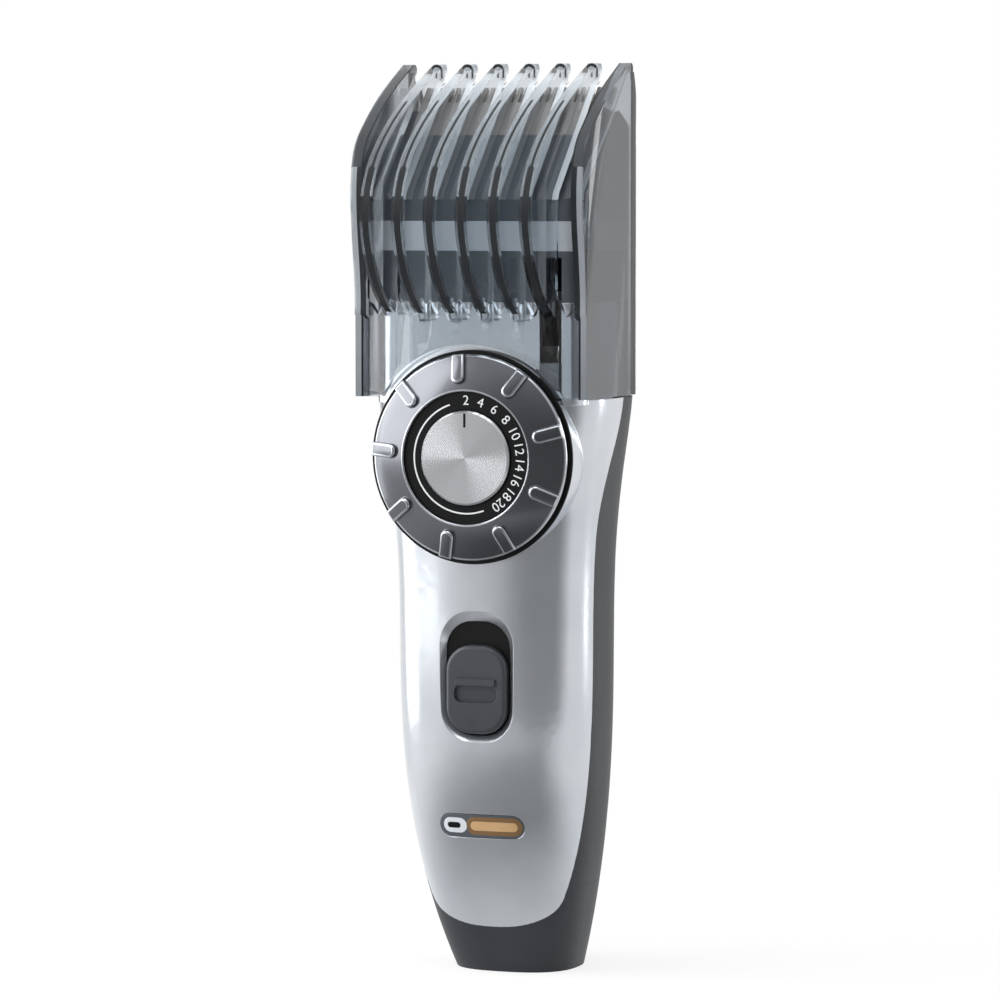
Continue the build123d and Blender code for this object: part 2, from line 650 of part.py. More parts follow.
# Head frame: dark collar with the floor that carries the motor
frame_outside = head_solid(0, SHELL_TOP, FRAME_TOP)
frame_inside = head_solid(HEAD_WALL, SHELL_TOP + FRAME_FLOOR, FRAME_TOP + OVERRUN)
with BuildPart() as head_frame:
    add(frame_outside)
    add(frame_inside, mode=Mode.SUBTRACT)
    post(NOSE_RADIUS + FIT, SHELL_TOP, SHELL_TOP + FRAME_FLOOR, y=MOTOR_Y, mode=Mode.SUBTRACT)
    for x in (-MOTOR_SCREW_X, MOTOR_SCREW_X):
        post(SCREW_RADIUS + FIT, SHELL_TOP, SHELL_TOP + FRAME_FLOOR, x, MOTOR_Y, mode=Mode.SUBTRACT)
    block(SLOT_SIDES, slot_depth, (SHELL_TOP - OVERRUN, SLOT_TOP), mode=Mode.SUBTRACT)
head_frame.part.label = "head_frame"
export_step(head_frame.part, "parts/head_frame.step")

# Blade base: light band on top of the frame
band_outside = head_solid(0, FRAME_TOP, BAND_TOP)
band_inside = head_solid(BAND_WALL, FRAME_TOP, BAND_TOP)
with BuildPart() as blade_base:
    add(band_outside)
    add(band_inside, mode=Mode.SUBTRACT)
blade_base.part.label = "blade_base"
export_step(blade_base.part, "parts/blade_base.step")

# Blade holder: sloping top of the head
HOLDER_FOOT_Y = HEAD_REAR - HOLDER_SETBACK
HOLDER_KNEE = (HEAD_REAR - HOLDER_KNEE_SETBACK, BAND_TOP + HOLDER_KNEE_RISE)
HOLDER_RIDGE = (HOLDER_RIDGE_Y, BAND_TOP + HOLDER_RIDGE_RISE)
holder_outside = head_solid(0, BAND_TOP, BLADE_TIP_HEIGHT)
with BuildPart() as blade_holder:
    add(holder_outside)
    step_y, step_z = on_slope(-FIXED_BLADE_LENGTH, 0)
    seat_y, seat_z = on_slope(-FIXED_BLADE_LENGTH, -FIXED_BLADE_THICKNESS)
    end_y, end_z = on_slope(-TOOTH_DEPTH - SEAT_MARGIN, -FIXED_BLADE_THICKNESS)
    with BuildSketch(Plane.YZ):
        with BuildLine():
            Polyline(
                (HEAD_FRONT, BAND_TOP),
                (HEAD_FRONT, SLOPE_START),
                (step_y, step_z),
                (seat_y, seat_z),
                (end_y, end_z),
                HOLDER_RIDGE,
                HOLDER_KNEE,
                (HOLDER_FOOT_Y, BAND_TOP),
                close=True,
            )
        make_face()
    extrude(amount=HEAD_HALF_WIDTH, both=True, mode=Mode.INTERSECT)
    with BuildSketch(Plane.YZ):
        with BuildLine():
            in_front = HEAD_FRONT + HEAD_WALL
            lip = -FIXED_BLADE_LENGTH + LIP_WIDTH
            wall_drop = HEAD_WALL * math.tan(math.radians(SLOPE_ANGLE / 2))
            Polyline(
                (in_front, BAND_TOP - OVERRUN),
                (in_front, SLOPE_START - wall_drop),
                on_slope(lip, -FIXED_BLADE_THICKNESS - LIP_THICKNESS),
                on_slope(lip, OVERRUN),
                on_slope(OVERRUN, OVERRUN),
                (HOLDER_RIDGE[0] - HEAD_WALL, HOLDER_RIDGE[1] + 2 * OVERRUN),
                (HOLDER_RIDGE[0] - HEAD_WALL, HOLDER_RIDGE[1] - wall_drop),
                (HOLDER_KNEE[0] - HEAD_WALL, HOLDER_KNEE[1] - wall_drop),
                (HOLDER_FOOT_Y - HEAD_WALL, BAND_TOP - OVERRUN),
                close=True,
            )
        make_face()
    extrude(amount=CHEEK_INSIDE, both=True, mode=Mode.SUBTRACT)
blade_holder.part.label = "blade_holder"
export_step(blade_holder.part, "parts/blade_holder.step")


def toothed_plate(length, half, setback, top, thickness):
    """Plate on the blade plane with a comb of slots at its upper edge."""
    with BuildSketch(BLADE_PLANE.offset(top)) as profile:
        with Locations((0, -setback - length / 2)):
            Rectangle(2 * half, length)
        count = int((2 * half - TOOTH_PITCH) / TOOTH_PITCH)
        with Locations((0, -setback)):
            with GridLocations(TOOTH_PITCH, 1, count, 1):
                Rectangle(TOOTH_SLOT, 2 * TOOTH_DEPTH, mode=Mode.SUBTRACT)
    extrude(profile.sketch, amount=-thickness)


with BuildPart() as fixed_blade:
    toothed_plate(FIXED_BLADE_LENGTH, FIXED_BLADE_HALF_WIDTH, 0, 0, FIXED_BLADE_THICKNESS)
fixed_blade.part.label = "fixed_blade"
export_step(fixed_blade.part, "parts/fixed_blade.step")

MOVING_TOP = -FIXED_BLADE_THICKNESS - BLADE_GAP
with BuildPart() as moving_blade:
    toothed_plate(
        MOVING_BLADE_LENGTH, MOVING_BLADE_HALF_WIDTH, MOVING_BLADE_SETBACK, MOVING_TOP, MOVING_BLADE_THICKNESS
    )
moving_blade.part.label = "moving_blade"
export_step(moving_blade.part, "parts/moving_blade.step")

# Carrier of the moving blade: a pad under the blade and a forked tongue around the crank pin
PAD_TOP = MOVING_TOP - MOVING_BLADE_THICKNESS
TONGUE_Y = (MOTOR_Y - TONGUE_DEPTH / 2, MOTOR_Y + TONGUE_DEPTH / 2)
FORK_HALF_WIDTH = CRANK_PIN_RADIUS + CRANK_RADIUS + BLADE_STROKE + FIT
FORK_BOTTOM = CAM_TOP + CLEARANCE
PAD_LOWER = -MOVING_BLADE_SETBACK - MOVING_BLADE_LENGTH
PAD_UPPER = -MOVING_BLADE_SETBACK - TOOTH_DEPTH - PAD_MARGIN
with BuildPart() as blade_carrier:
    with BuildSketch(BLADE_PLANE.offset(PAD_TOP)):
        with Locations((0, (PAD_LOWER + PAD_UPPER) / 2)):
            Rectangle(2 * PAD_HALF_WIDTH, PAD_UPPER - PAD_LOWER)
    extrude(amount=-PAD_THICKNESS)
    with BuildSketch(Plane.YZ):
        with BuildLine():
            Polyline(
                (TONGUE_Y[0], FORK_BOTTOM),
                on_slope(PAD_LOWER + PAD_MARGIN, PAD_TOP - PAD_THICKNESS / 2),
                on_slope(PAD_UPPER - PAD_MARGIN / 2, PAD_TOP - PAD_THICKNESS / 2),
                (TONGUE_Y[1], FORK_BOTTOM),
                close=True,
            )
        make_face()
    extrude(amount=TONGUE_HALF_WIDTH, both=True)
    fork_height = (FORK_BOTTOM - OVERRUN, CRANK_PIN_TOP + CLEARANCE)
    block((-FORK_HALF_WIDTH, FORK_HALF_WIDTH), (-REACH, REACH), fork_height, mode=Mode.SUBTRACT)
blade_carrier.part.label = "blade_carrier"
export_step(blade_carrier.part, "parts/blade_carrier.step")

# Leaf spring that presses the carrier's pad against the blades
LEAF_TOP = PAD_TOP - PAD_THICKNESS - RUNNING_FIT
LEAF_GAP_HALF_WIDTH = TONGUE_HALF_WIDTH + BLADE_STROKE + CLEARANCE
with BuildPart() as blade_spring:
    with BuildSketch(BLADE_PLANE.offset(LEAF_TOP)):
        with Locations((0, (PAD_LOWER + PAD_UPPER) / 2)):
            Rectangle(2 * (CHEEK_INSIDE - FIT), PAD_UPPER - PAD_LOWER - 2 * LEAF_MARGIN)
            Rectangle(2 * LEAF_GAP_HALF_WIDTH, PAD_UPPER - PAD_LOWER + OVERRUN, mode=Mode.SUBTRACT)
    extrude(amount=-LEAF_THICKNESS)
blade_spring.part.label = "blade_spring"
export_step(blade_spring.part, "parts/blade_spring.step")



def turned(points, mode=Mode.ADD):
    """Solid turned about the dial's axis from points given as radius and depth."""
    with BuildSketch(Plane.XY.offset(DIAL_HEIGHT)) as profile:
        with BuildLine():
            Polyline(*points, close=True)
        make_face()
    revolve(profile.sketch, axis=Axis((0, 0, DIAL_HEIGHT), (0, 1, 0)), mode=mode)


# Dial ring: shallow cone with grip nubs
with BuildPart() as nubs:
    with BuildSketch(front_plane(DIAL_SEAT)):
        with Locations((0, DIAL_HEIGHT)):
            with PolarLocations((NUB_INNER + DIAL_RADIUS) / 2, NUB_COUNT, start_angle=90 + NUB_TURN):
                SlotOverall(DIAL_RADIUS - NUB_INNER, NUB_WIDTH)
    extrude(amount=DIAL_SEAT - DIAL_FRONT + OVERRUN)
    turned(
        (
            (DIAL_HOLE_RADIUS, DIAL_SEAT),
            (DIAL_RADIUS, DIAL_SEAT),
            (DIAL_RADIUS, DIAL_RIM_FRONT - NUB_HEIGHT),
            (DIAL_HOLE_RADIUS, DIAL_FRONT - NUB_HEIGHT),
        ),
        Mode.INTERSECT,
    )
with BuildPart() as dial_ring:
    turned(
        (
            (DIAL_HOLE_RADIUS, DIAL_SEAT),
            (DIAL_RADIUS, DIAL_SEAT),
            (DIAL_RADIUS, DIAL_RIM_FRONT),
            (DIAL_HOLE_RADIUS, DIAL_FRONT),
        )
    )
    cone = dial_ring.faces().filter_by(GeomType.CONE)[0]
    fillet(cone.edges().filter_by(GeomType.CIRCLE), DIAL_EDGE)
    add(nubs.part)
dial_ring.part.label = "dial_ring"
export_step(dial_ring.part, "parts/dial_ring.step")

# Number ring: black moulding inside the dial ring, with a ledge behind it
NUMBER_INNER = CAP_RADIUS + 2 * FIT
NUMBER_FRONT = DIAL_FRONT + NUMBER_RECESS
CAP_FRONT = DIAL_FRONT - CAP_PROUD
CAP_REAR = CAP_FRONT + CAP_THICKNESS
with BuildPart() as number_ring:
    turned(
        (
            (NUMBER_INNER, DIAL_REAR),
            (DIAL_RADIUS + DIAL_LEDGE, DIAL_REAR),
            (DIAL_RADIUS + DIAL_LEDGE, DIAL_SEAT),
            (DIAL_HOLE_RADIUS, DIAL_SEAT),
            (DIAL_HOLE_RADIUS, NUMBER_FRONT),
            (NUMBER_INNER, NUMBER_FRONT),
        )
    )
number_ring.part.label = "number_ring"
export_step(number_ring.part, "parts/number_ring.step")

# Dial hub: flange, bearing and pinion
HUB_FLANGE = BOSS_RECESS_RADIUS - CLEARANCE
HUB_FLANGE_REAR = BOSS_FRONT + BOSS_RECESS_DEPTH - 2 * FIT
SEAL_MIDDLE = (HUB_FLANGE_REAR + PINION_FRONT) / 2
SEAL_LIMITS = (SEAL_MIDDLE - HUB_SEAL_WIDTH / 2, SEAL_MIDDLE + HUB_SEAL_WIDTH / 2)
BASE_RADIUS = PITCH_RADIUS * math.cos(math.radians(PRESSURE_ANGLE))
TIP_RADIUS = PITCH_RADIUS + PINION_MODULE
ROOT_RADIUS = PITCH_RADIUS - 1.25 * PINION_MODULE


def flank_angle(radius):
    """Half angle of a tooth at a radius, on the involute."""
    at_pitch = (math.pi * PINION_MODULE / 2 - BACKLASH) / (2 * PITCH_RADIUS)
    cosine = BASE_RADIUS / max(radius, BASE_RADIUS)
    spread = math.tan(math.acos(cosine)) - math.acos(cosine)
    pitch_cosine = BASE_RADIUS / PITCH_RADIUS
    pitch_spread = math.tan(math.acos(pitch_cosine)) - math.acos(pitch_cosine)
    return at_pitch + pitch_spread - spread


def pinion_points():
    """Outline of the pinion about the dial's centre, with one tooth pointing to +X."""
    radii = (ROOT_RADIUS, BASE_RADIUS, PITCH_RADIUS, TIP_RADIUS)
    points = []
    for tooth in range(PINION_TEETH):
        middle = 2 * math.pi * tooth / PINION_TEETH
        for radius in radii:
            angle = middle - flank_angle(radius)
            points.append((radius * math.cos(angle), DIAL_HEIGHT + radius * math.sin(angle)))
        for radius in reversed(radii):
            angle = middle + flank_angle(radius)
            points.append((radius * math.cos(angle), DIAL_HEIGHT + radius * math.sin(angle)))
    return points


with BuildPart() as dial_hub:
    rod(HUB_FLANGE, HUB_FLANGE_REAR, DIAL_REAR, z=DIAL_HEIGHT)
    rod(HUB_RADIUS, PINION_FRONT, HUB_FLANGE_REAR, z=DIAL_HEIGHT)
    with BuildSketch(front_plane(PINION_REAR)):
        with BuildLine():
            Polyline(*pinion_points(), close=True)
        make_face()
    extrude(amount=PINION_REAR - PINION_FRONT)
    rod(STEM_RADIUS + FIT, PINION_REAR, DIAL_REAR, z=DIAL_HEIGHT, mode=Mode.SUBTRACT)
    with BuildSketch(front_plane(SEAL_LIMITS[1])):
        with Locations((0, DIAL_HEIGHT)):
            Circle(HUB_RADIUS + FIT)
            Circle(HUB_RADIUS - HUB_SEAL_DEPTH, mode=Mode.SUBTRACT)
    extrude(amount=HUB_SEAL_WIDTH, mode=Mode.SUBTRACT)
dial_hub.part.label = "dial_hub"
export_step(dial_hub.part, "parts/dial_hub.step")

# Ring seal in the hub's groove
with BuildPart() as dial_seal:
    with BuildSketch(front_plane(SEAL_LIMITS[1])):
        with Locations((0, DIAL_HEIGHT)):
            Circle(HUB_RADIUS + FIT - RUNNING_FIT)
            Circle(HUB_RADIUS - HUB_SEAL_DEPTH, mode=Mode.SUBTRACT)
    extrude(amount=HUB_SEAL_WIDTH)
dial_seal.part.label = "dial_seal"
export_step(dial_seal.part, "parts/dial_seal.step")

# Dial cap: still disc on a stem that stands on the plate
DIAL_SCREW_TIP = PLATE_FRONT - DIAL_SCREW_REACH
with BuildPart() as dial_cap:
    rod(CAP_RADIUS, CAP_REAR, CAP_FRONT, z=DIAL_HEIGHT)
    rod(STEM_RADIUS, PLATE_FRONT, CAP_REAR, z=DIAL_HEIGHT)
    rod(SCREW_RADIUS, PLATE_FRONT, DIAL_SCREW_TIP - CLEARANCE, z=DIAL_HEIGHT, mode=Mode.SUBTRACT)
dial_cap.part.label = "dial_cap"
export_step(dial_cap.part, "parts/dial_cap.step")

# Mechanism plate with the carriage guide and the lug of the detent spring
GUIDE_X = (RACK_BACK_X + 2 * FIT, RACK_BACK_X + 2 * FIT + GUIDE_WIDTH)
GUIDE_FRONT = PLATE_FRONT - GUIDE_HEIGHT
LUG_X = (-TIP_RADIUS - DETENT_GAP - LUG_WIDTH, -TIP_RADIUS - DETENT_GAP)
LUG_Z = (DIAL_HEIGHT - LUG_DROP, DIAL_HEIGHT - LUG_DROP + LUG_HEIGHT)
PINION_MIDDLE = (PINION_FRONT + PINION_REAR) / 2
DETENT_Y = (PINION_MIDDLE - DETENT_WIDTH / 2, PINION_MIDDLE + DETENT_WIDTH / 2)
with BuildPart() as mechanism_plate:
    block((-PLATE_HALF_WIDTH, PLATE_HALF_WIDTH), (PLATE_FRONT, PLATE_REAR), (PLATE_BOTTOM, PLATE_TOP))
    fillet(mechanism_plate.edges().filter_by(Axis.Y), PLATE_CORNER)
    block(GUIDE_X, (GUIDE_FRONT, PLATE_REAR), (RACK_BOTTOM, DIAL_HEIGHT - GUIDE_DROP))
    block(LUG_X, (DETENT_Y[0], PLATE_REAR), LUG_Z)
    for x, z in PLATE_PILLARS:
        rod(SCREW_RADIUS + FIT, PLATE_REAR, PLATE_FRONT, x, z, Mode.SUBTRACT)
    rod(SCREW_RADIUS + FIT, PLATE_REAR, PLATE_FRONT, z=DIAL_HEIGHT, mode=Mode.SUBTRACT)
    head_seat = PLATE_REAR - SCREW_HEAD_HEIGHT
    rod(SCREW_HEAD_RADIUS + FIT, PLATE_REAR, head_seat, z=DIAL_HEIGHT, mode=Mode.SUBTRACT)
mechanism_plate.part.label = "mechanism_plate"
export_step(mechanism_plate.part, "parts/mechanism_plate.step")

with BuildPart() as plate_screws:
    for x, z in PLATE_PILLARS:
        rod(SCREW_RADIUS, PLATE_REAR, PLATE_SCREW_TIP, x, z)
        rod(SCREW_HEAD_RADIUS, PLATE_REAR + SCREW_HEAD_HEIGHT, PLATE_REAR, x, z)
plate_screws.part.label = "plate_screws"
export_step(plate_screws.part, "parts/plate_screws.step")

with BuildPart() as dial_screw:
    rod(SCREW_RADIUS, head_seat, DIAL_SCREW_TIP, z=DIAL_HEIGHT)
    rod(SCREW_HEAD_RADIUS, PLATE_REAR, head_seat, z=DIAL_HEIGHT)
dial_screw.part.label = "dial_screw"
export_step(dial_screw.part, "parts/dial_screw.step")

# Detent leaf beside the pinion
DETENT_TIP_Z = (DIAL_HEIGHT - DETENT_TIP_HALF_HEIGHT, DIAL_HEIGHT + DETENT_TIP_HALF_HEIGHT)
with BuildPart() as detent_spring:
    block((LUG_X[1], LUG_X[1] + SPRING_THICKNESS), DETENT_Y, (LUG_Z[0], DIAL_HEIGHT + DETENT_OVERHANG))
    block((LUG_X[1], -TIP_RADIUS - DETENT_TIP_GAP), DETENT_Y, DETENT_TIP_Z)
detent_spring.part.label = "detent_spring"
export_step(detent_spring.part, "parts/detent_spring.step")

# Comb carriage: rack, back and the arm that comes out of the slot
CIRCULAR_PITCH = math.pi * PINION_MODULE
RACK_SLOPE = math.tan(math.radians(PRESSURE_ANGLE))
ARM_BOTTOM = HANDLE_HEIGHT - ARM_DROP
ARM_CORNER = SHELL_TOP - COMB_TRAVEL - 2 * CLEARANCE


def rack_tooth(height):
    """One tooth of the rack, centred at a height."""
    middle = CIRCULAR_PITCH / 4 - BACKLASH / 2
    tip = middle - PINION_MODULE * RACK_SLOPE
    root = middle + 1.25 * PINION_MODULE * RACK_SLOPE
    Polygon(
        (RACK_ROOT_X + 2 * FIT, height - root),
        (RACK_ROOT_X, height - root),
        (RACK_TIP_X, height - tip),
        (RACK_TIP_X, height + tip),
        (RACK_ROOT_X, height + root),
        (RACK_ROOT_X + 2 * FIT, height + root),
        align=None,
    )


with BuildPart() as comb_carriage:
    with BuildSketch(front_plane(RACK_REAR)):
        with BuildLine():
            Polyline(
                (RACK_ROOT_X, RACK_BOTTOM),
                (RACK_BACK_X, RACK_BOTTOM),
                (RACK_BACK_X, DIAL_HEIGHT),
                (ARM_SIDES[1], ARM_BOTTOM),
                (ARM_SIDES[1], ARM_TOP),
                (ARM_SIDES[0], ARM_TOP),
                (ARM_SIDES[0], ARM_CORNER),
                (RACK_ROOT_X, RACK_TOP),
                close=True,
            )
        make_face()
        below = int((DIAL_HEIGHT - RACK_BOTTOM) / CIRCULAR_PITCH - 0.5)
        above = int((RACK_TOP - DIAL_HEIGHT) / CIRCULAR_PITCH - 0.5)
        for tooth in range(-below, above + 1):
            rack_tooth(DIAL_HEIGHT + (tooth + 0.5) * CIRCULAR_PITCH)
    extrude(amount=RACK_REAR - RACK_FRONT)
    block(ARM_SIDES, (ARM_FRONT, RACK_REAR), (HANDLE_HEIGHT + CLEARANCE, ARM_TOP))
comb_carriage.part.label = "comb_carriage"
export_step(comb_carriage.part, "parts/comb_carriage.step")

# Guide comb: skirt, apron with the arch, crescent tines and end panels
COMB_INNER = HEAD_HALF_WIDTH + COMB_CLEARANCE
COMB_OUTER = COMB_INNER + COMB_WALL
COMB_REAR = HEAD_REAR + COMB_CLEARANCE + COMB_WALL
COMB_FRONT = HEAD_FRONT - SKIRT_OUT
APRON_FRONT = HEAD_FRONT - APRON_OUT
APRON_TOP = COMB_BOTTOM + APRON_HEIGHT
SLOT_BOTTOM = APRON_TOP - APRON_SLOT
TINE_INSIDE = HEAD_FRONT - TINE_GAP
SKIRT_RIDGE = COMB_TIP_HEIGHT - SKIRT_RIDGE_DROP


def tine(x_from, x_to, edge):
    """Tine or end panel between two X limits, with its outer edge."""
    with BuildSketch(Plane.YZ.offset(x_from)) as profile:
        with BuildLine():
            points = [(BLADE_TIP_Y, COMB_TIP_HEIGHT)]
            for reach, drop in edge:
                points.append((HEAD_FRONT - reach, COMB_TIP_HEIGHT - drop))
            outer_edge = Spline(*points)
            foot_line = Line(outer_edge @ 1, (TINE_INSIDE, COMB_TIP_HEIGHT - TINE_FOOT_DROP))
            inner_edge = FilletPolyline(
                foot_line @ 1,
                (TINE_INSIDE, SLOPE_START + TINE_LIFT),
                (BLADE_TIP_Y + 0.3 * TINE_TIP, COMB_TIP_HEIGHT - TINE_TIP),
                radius=TINE_BEND,
            )
            tip_round = (BLADE_TIP_Y + 0.6 * TINE_TIP, COMB_TIP_HEIGHT - TINE_TIP / 4)
            ThreePointArc(inner_edge @ 1, tip_round, outer_edge @ 0)
        make_face()
    extrude(profile.sketch, amount=x_to - x_from)


with BuildPart() as guide_comb:
    with BuildSketch(Plane.XY.offset(COMB_BOTTOM)):
        with BuildLine():
            Polyline((-COMB_OUTER, 0), (-COMB_OUTER, COMB_FRONT), (COMB_OUTER, COMB_FRONT), (COMB_OUTER, 0))
            EllipticalCenterArc((0, 0), COMB_OUTER, COMB_REAR, 0, arc_size=180)
        make_face()
    extrude(amount=COMB_TIP_HEIGHT - COMB_BOTTOM)
    with BuildSketch(Plane.YZ):
        with BuildLine():
            Polyline(
                (COMB_FRONT, COMB_BOTTOM),
                (COMB_FRONT, SLOPE_START + SKIRT_RISE),
                (SKIRT_RIDGE_Y[0], SKIRT_RIDGE),
                (SKIRT_RIDGE_Y[1], SKIRT_RIDGE),
                (SKIRT_KNEE[0], COMB_TIP_HEIGHT - SKIRT_KNEE[1]),
                (COMB_REAR, COMB_TIP_HEIGHT - SKIRT_REAR_DROP),
                (COMB_REAR, COMB_BOTTOM),
                close=True,
            )
        make_face()
    extrude(amount=COMB_OUTER, both=True, mode=Mode.INTERSECT)
    with BuildSketch(Plane.XY.offset(COMB_BOTTOM)):
        with BuildLine():
            Polyline((-COMB_INNER, 0), (-COMB_INNER, -REACH), (COMB_INNER, -REACH), (COMB_INNER, 0))
            EllipticalCenterArc((0, 0), COMB_INNER, HEAD_REAR + COMB_CLEARANCE, 0, arc_size=180)
        make_face()
    extrude(amount=COMB_TIP_HEIGHT, mode=Mode.SUBTRACT)

APRON_CENTRE = APRON_FRONT + APRON_CURVE
with BuildPart() as apron:
    with BuildSketch(Plane.XY.offset(COMB_BOTTOM)):
        with Locations((0, APRON_CENTRE)):
            Circle(APRON_CURVE)
            Circle(APRON_CURVE - COMB_WALL, mode=Mode.SUBTRACT)
        with Locations((0, APRON_FRONT)):
            Rectangle(2 * (COMB_INNER + 2 * FIT), 2 * (COMB_WALL + OVERRUN), mode=Mode.INTERSECT)
    extrude(amount=APRON_TOP - COMB_BOTTOM)
    with BuildSketch(front_plane(0)):
        with BuildLine():
            edge = [(COMB_OUTER, COMB_BOTTOM), (COMB_OUTER, APRON_TOP)]
            for step in range(TINE_COUNT, -TINE_COUNT - 1, -1):
                height = APRON_TOP if step % 2 else SLOT_BOTTOM
                edge.append((step * TINE_PITCH / 2, height))
            edge += [(-COMB_OUTER, APRON_TOP), (-COMB_OUTER, COMB_BOTTOM)]
            Polyline(*edge, close=True)
        make_face()
        with Locations((0, DIAL_HEIGHT)):
            Circle(ARCH_RADIUS, mode=Mode.SUBTRACT)
    extrude(amount=REACH, mode=Mode.INTERSECT)

with BuildPart() as comb_whole:
    add(guide_comb.part)
    add(apron.part)
    for step in range(TINE_COUNT):
        x = (step - (TINE_COUNT - 1) / 2) * TINE_PITCH
        tine(x - TINE_THICKNESS / 2, x + TINE_THICKNESS / 2, TINE_EDGE)
    tine(COMB_OUTER - TINE_THICKNESS, COMB_OUTER, PANEL_EDGE)
    tine(-COMB_OUTER, TINE_THICKNESS - COMB_OUTER, PANEL_EDGE)
    block(
        (ARM_SIDES[0] + FIT, ARM_SIDES[1] - FIT),
        (APRON_FRONT + COMB_WALL, HEAD_FRONT - KEY_GAP),
        (ARM_TOP + RUNNING_FIT, ARM_TOP + KEY_HEIGHT),
    )
comb_whole.part.label = "guide_comb"
export_step(comb_whole.part, "parts/guide_comb.step")

# Switch plate: black bezel with the slot of the stem
SWITCH_FLANGE_REAR = SWITCH_FLANGE_FRONT + SWITCH_FLANGE_THICKNESS
STEM_SLOT = (KNOB_STEM[0] + 2 * CLEARANCE, KNOB_STEM[1] + SWITCH_TRAVEL + 2 * CLEARANCE)
with BuildPart() as switch_plate:
    opening(SWITCH_FLANGE_MARGIN, SWITCH_FLANGE_REAR, SWITCH_FLANGE_FRONT, Mode.ADD)
    opening(-FIT, SWITCH_FLANGE_FRONT, SWITCH_PLATE_FRONT, Mode.ADD)
    with BuildSketch(front_plane(SWITCH_FLANGE_FRONT)):
        with Locations((0, SWITCH_HEIGHT)):
            Rectangle(*STEM_SLOT)
    extrude(amount=OVERRUN, both=True, mode=Mode.SUBTRACT)
switch_plate.part.label = "switch_plate"
export_step(switch_plate.part, "parts/switch_plate.step")

# Switch knob with its thumb step and stem
KNOB_REAR = SWITCH_PLATE_FRONT - FIT
SLIDER_FRONT = SWITCH_FLANGE_REAR + FIT
with BuildPart() as switch_knob:
    with BuildSketch(front_plane(KNOB_REAR)):
        with Locations((0, KNOB_CENTRE)):
            RectangleRounded(*KNOB_SIZE, SWITCH_CORNER - (SWITCH_OPENING[0] - KNOB_SIZE[0]) / 2)
    extrude(amount=KNOB_REAR - KNOB_FRONT)
    fillet(switch_knob.faces().sort_by(Axis.Y)[0].edges(), KNOB_EDGE)
    with BuildSketch(front_plane(KNOB_FRONT + THUMB_SCOOP_DEPTH)):
        with Locations((0, KNOB_CENTRE - THUMB_SCOOP_DROP)):
            RectangleRounded(*THUMB_SCOOP, THUMB_SCOOP_CORNER)
    extrude(amount=OVERRUN, mode=Mode.SUBTRACT)
    ridge_bottom = KNOB_CENTRE - THUMB_SCOOP_DROP + THUMB_SCOOP[1] / 2
    block(
        (-THUMB_RIDGE[0] / 2, THUMB_RIDGE[0] / 2),
        (KNOB_FRONT - THUMB_RIDGE_PROUD, KNOB_FRONT + THUMB_SCOOP_DEPTH),
        (ridge_bottom, ridge_bottom + THUMB_RIDGE[1]),
    )
    block(
        (-KNOB_STEM[0] / 2, KNOB_STEM[0] / 2),
        (KNOB_REAR, SLIDER_FRONT),
        (KNOB_CENTRE - KNOB_STEM[1] / 2, KNOB_CENTRE + KNOB_STEM[1] / 2),
    )
switch_knob.part.label = "switch_knob"
export_step(switch_knob.part, "parts/switch_knob.step")

# Inner slider and the electrical switch that it works
SLIDER_REAR = SLIDER_FRONT + SLIDER_THICKNESS
TAB_REAR = SLIDER_REAR + TAB_LENGTH
SWITCH_BODY_FRONT = SLIDER_REAR + FIT
with BuildPart() as switch_slider:
    block(
        (-SLIDER_SIZE[0] / 2, SLIDER_SIZE[0] / 2),
        (SLIDER_FRONT, SLIDER_REAR),
        (KNOB_CENTRE - SLIDER_SIZE[1] / 2, KNOB_CENTRE + SLIDER_SIZE[1] / 2),
    )
    block(
        (-TAB_HALF_WIDTH, TAB_HALF_WIDTH),
        (SLIDER_REAR, TAB_REAR),
        (KNOB_CENTRE - TAB_HALF_HEIGHT, KNOB_CENTRE + TAB_HALF_HEIGHT),
    )
switch_slider.part.label = "switch_slider"
export_step(switch_slider.part, "parts/switch_slider.step")

with BuildPart() as slide_switch:
    block(
        (-SWITCH_BODY[0] / 2, SWITCH_BODY[0] / 2),
        (SWITCH_BODY_FRONT, BOARD_FRONT),
        (SWITCH_HEIGHT - SWITCH_BODY[1] / 2, SWITCH_HEIGHT + SWITCH_BODY[1] / 2),
    )
    track = TAB_HALF_HEIGHT + CLEARANCE
    block(
        (-TAB_HALF_WIDTH - CLEARANCE, TAB_HALF_WIDTH + CLEARANCE),
        (SWITCH_BODY_FRONT - OVERRUN, TAB_REAR + FIT),
        (KNOB_CENTRE - track, KNOB_CENTRE + track + SWITCH_TRAVEL),
        mode=Mode.SUBTRACT,
    )
slide_switch.part.label = "slide_switch"
export_step(slide_switch.part, "parts/slide_switch.step")

# Circuit board on the pillars of the front shell
with BuildPart() as circuit_board:
    block((-BOARD_HALF_WIDTH, BOARD_HALF_WIDTH), (BOARD_FRONT, BOARD_REAR), (BOARD_BOTTOM, BOARD_TOP))
    fillet(circuit_board.edges().filter_by(Axis.Y), BOARD_CORNER)
circuit_board.part.label = "circuit_board"
export_step(circuit_board.part, "parts/circuit_board.step")

# Charging light: lamp on the board and window flush with the shell
with BuildPart() as status_led:
    rod(LED_RADIUS, BOARD_FRONT, LENS_REAR + FIT, z=LIGHT_HEIGHT)
status_led.part.label = "status_led"
export_step(status_led.part, "parts/status_led.step")

with BuildPart() as indicator_lens:
    with BuildSketch(front_plane(LENS_REAR)):
        with Locations((0, LIGHT_HEIGHT)):
            SlotOverall(LENS_LENGTH, LENS_WIDTH)
    extrude(amount=LENS_REAR - GRIP_FRONT + OVERRUN)
    add(HANDLE, mode=Mode.INTERSECT)
indicator_lens.part.label = "indicator_lens"
export_step(indicator_lens.part, "parts/indicator_lens.step")

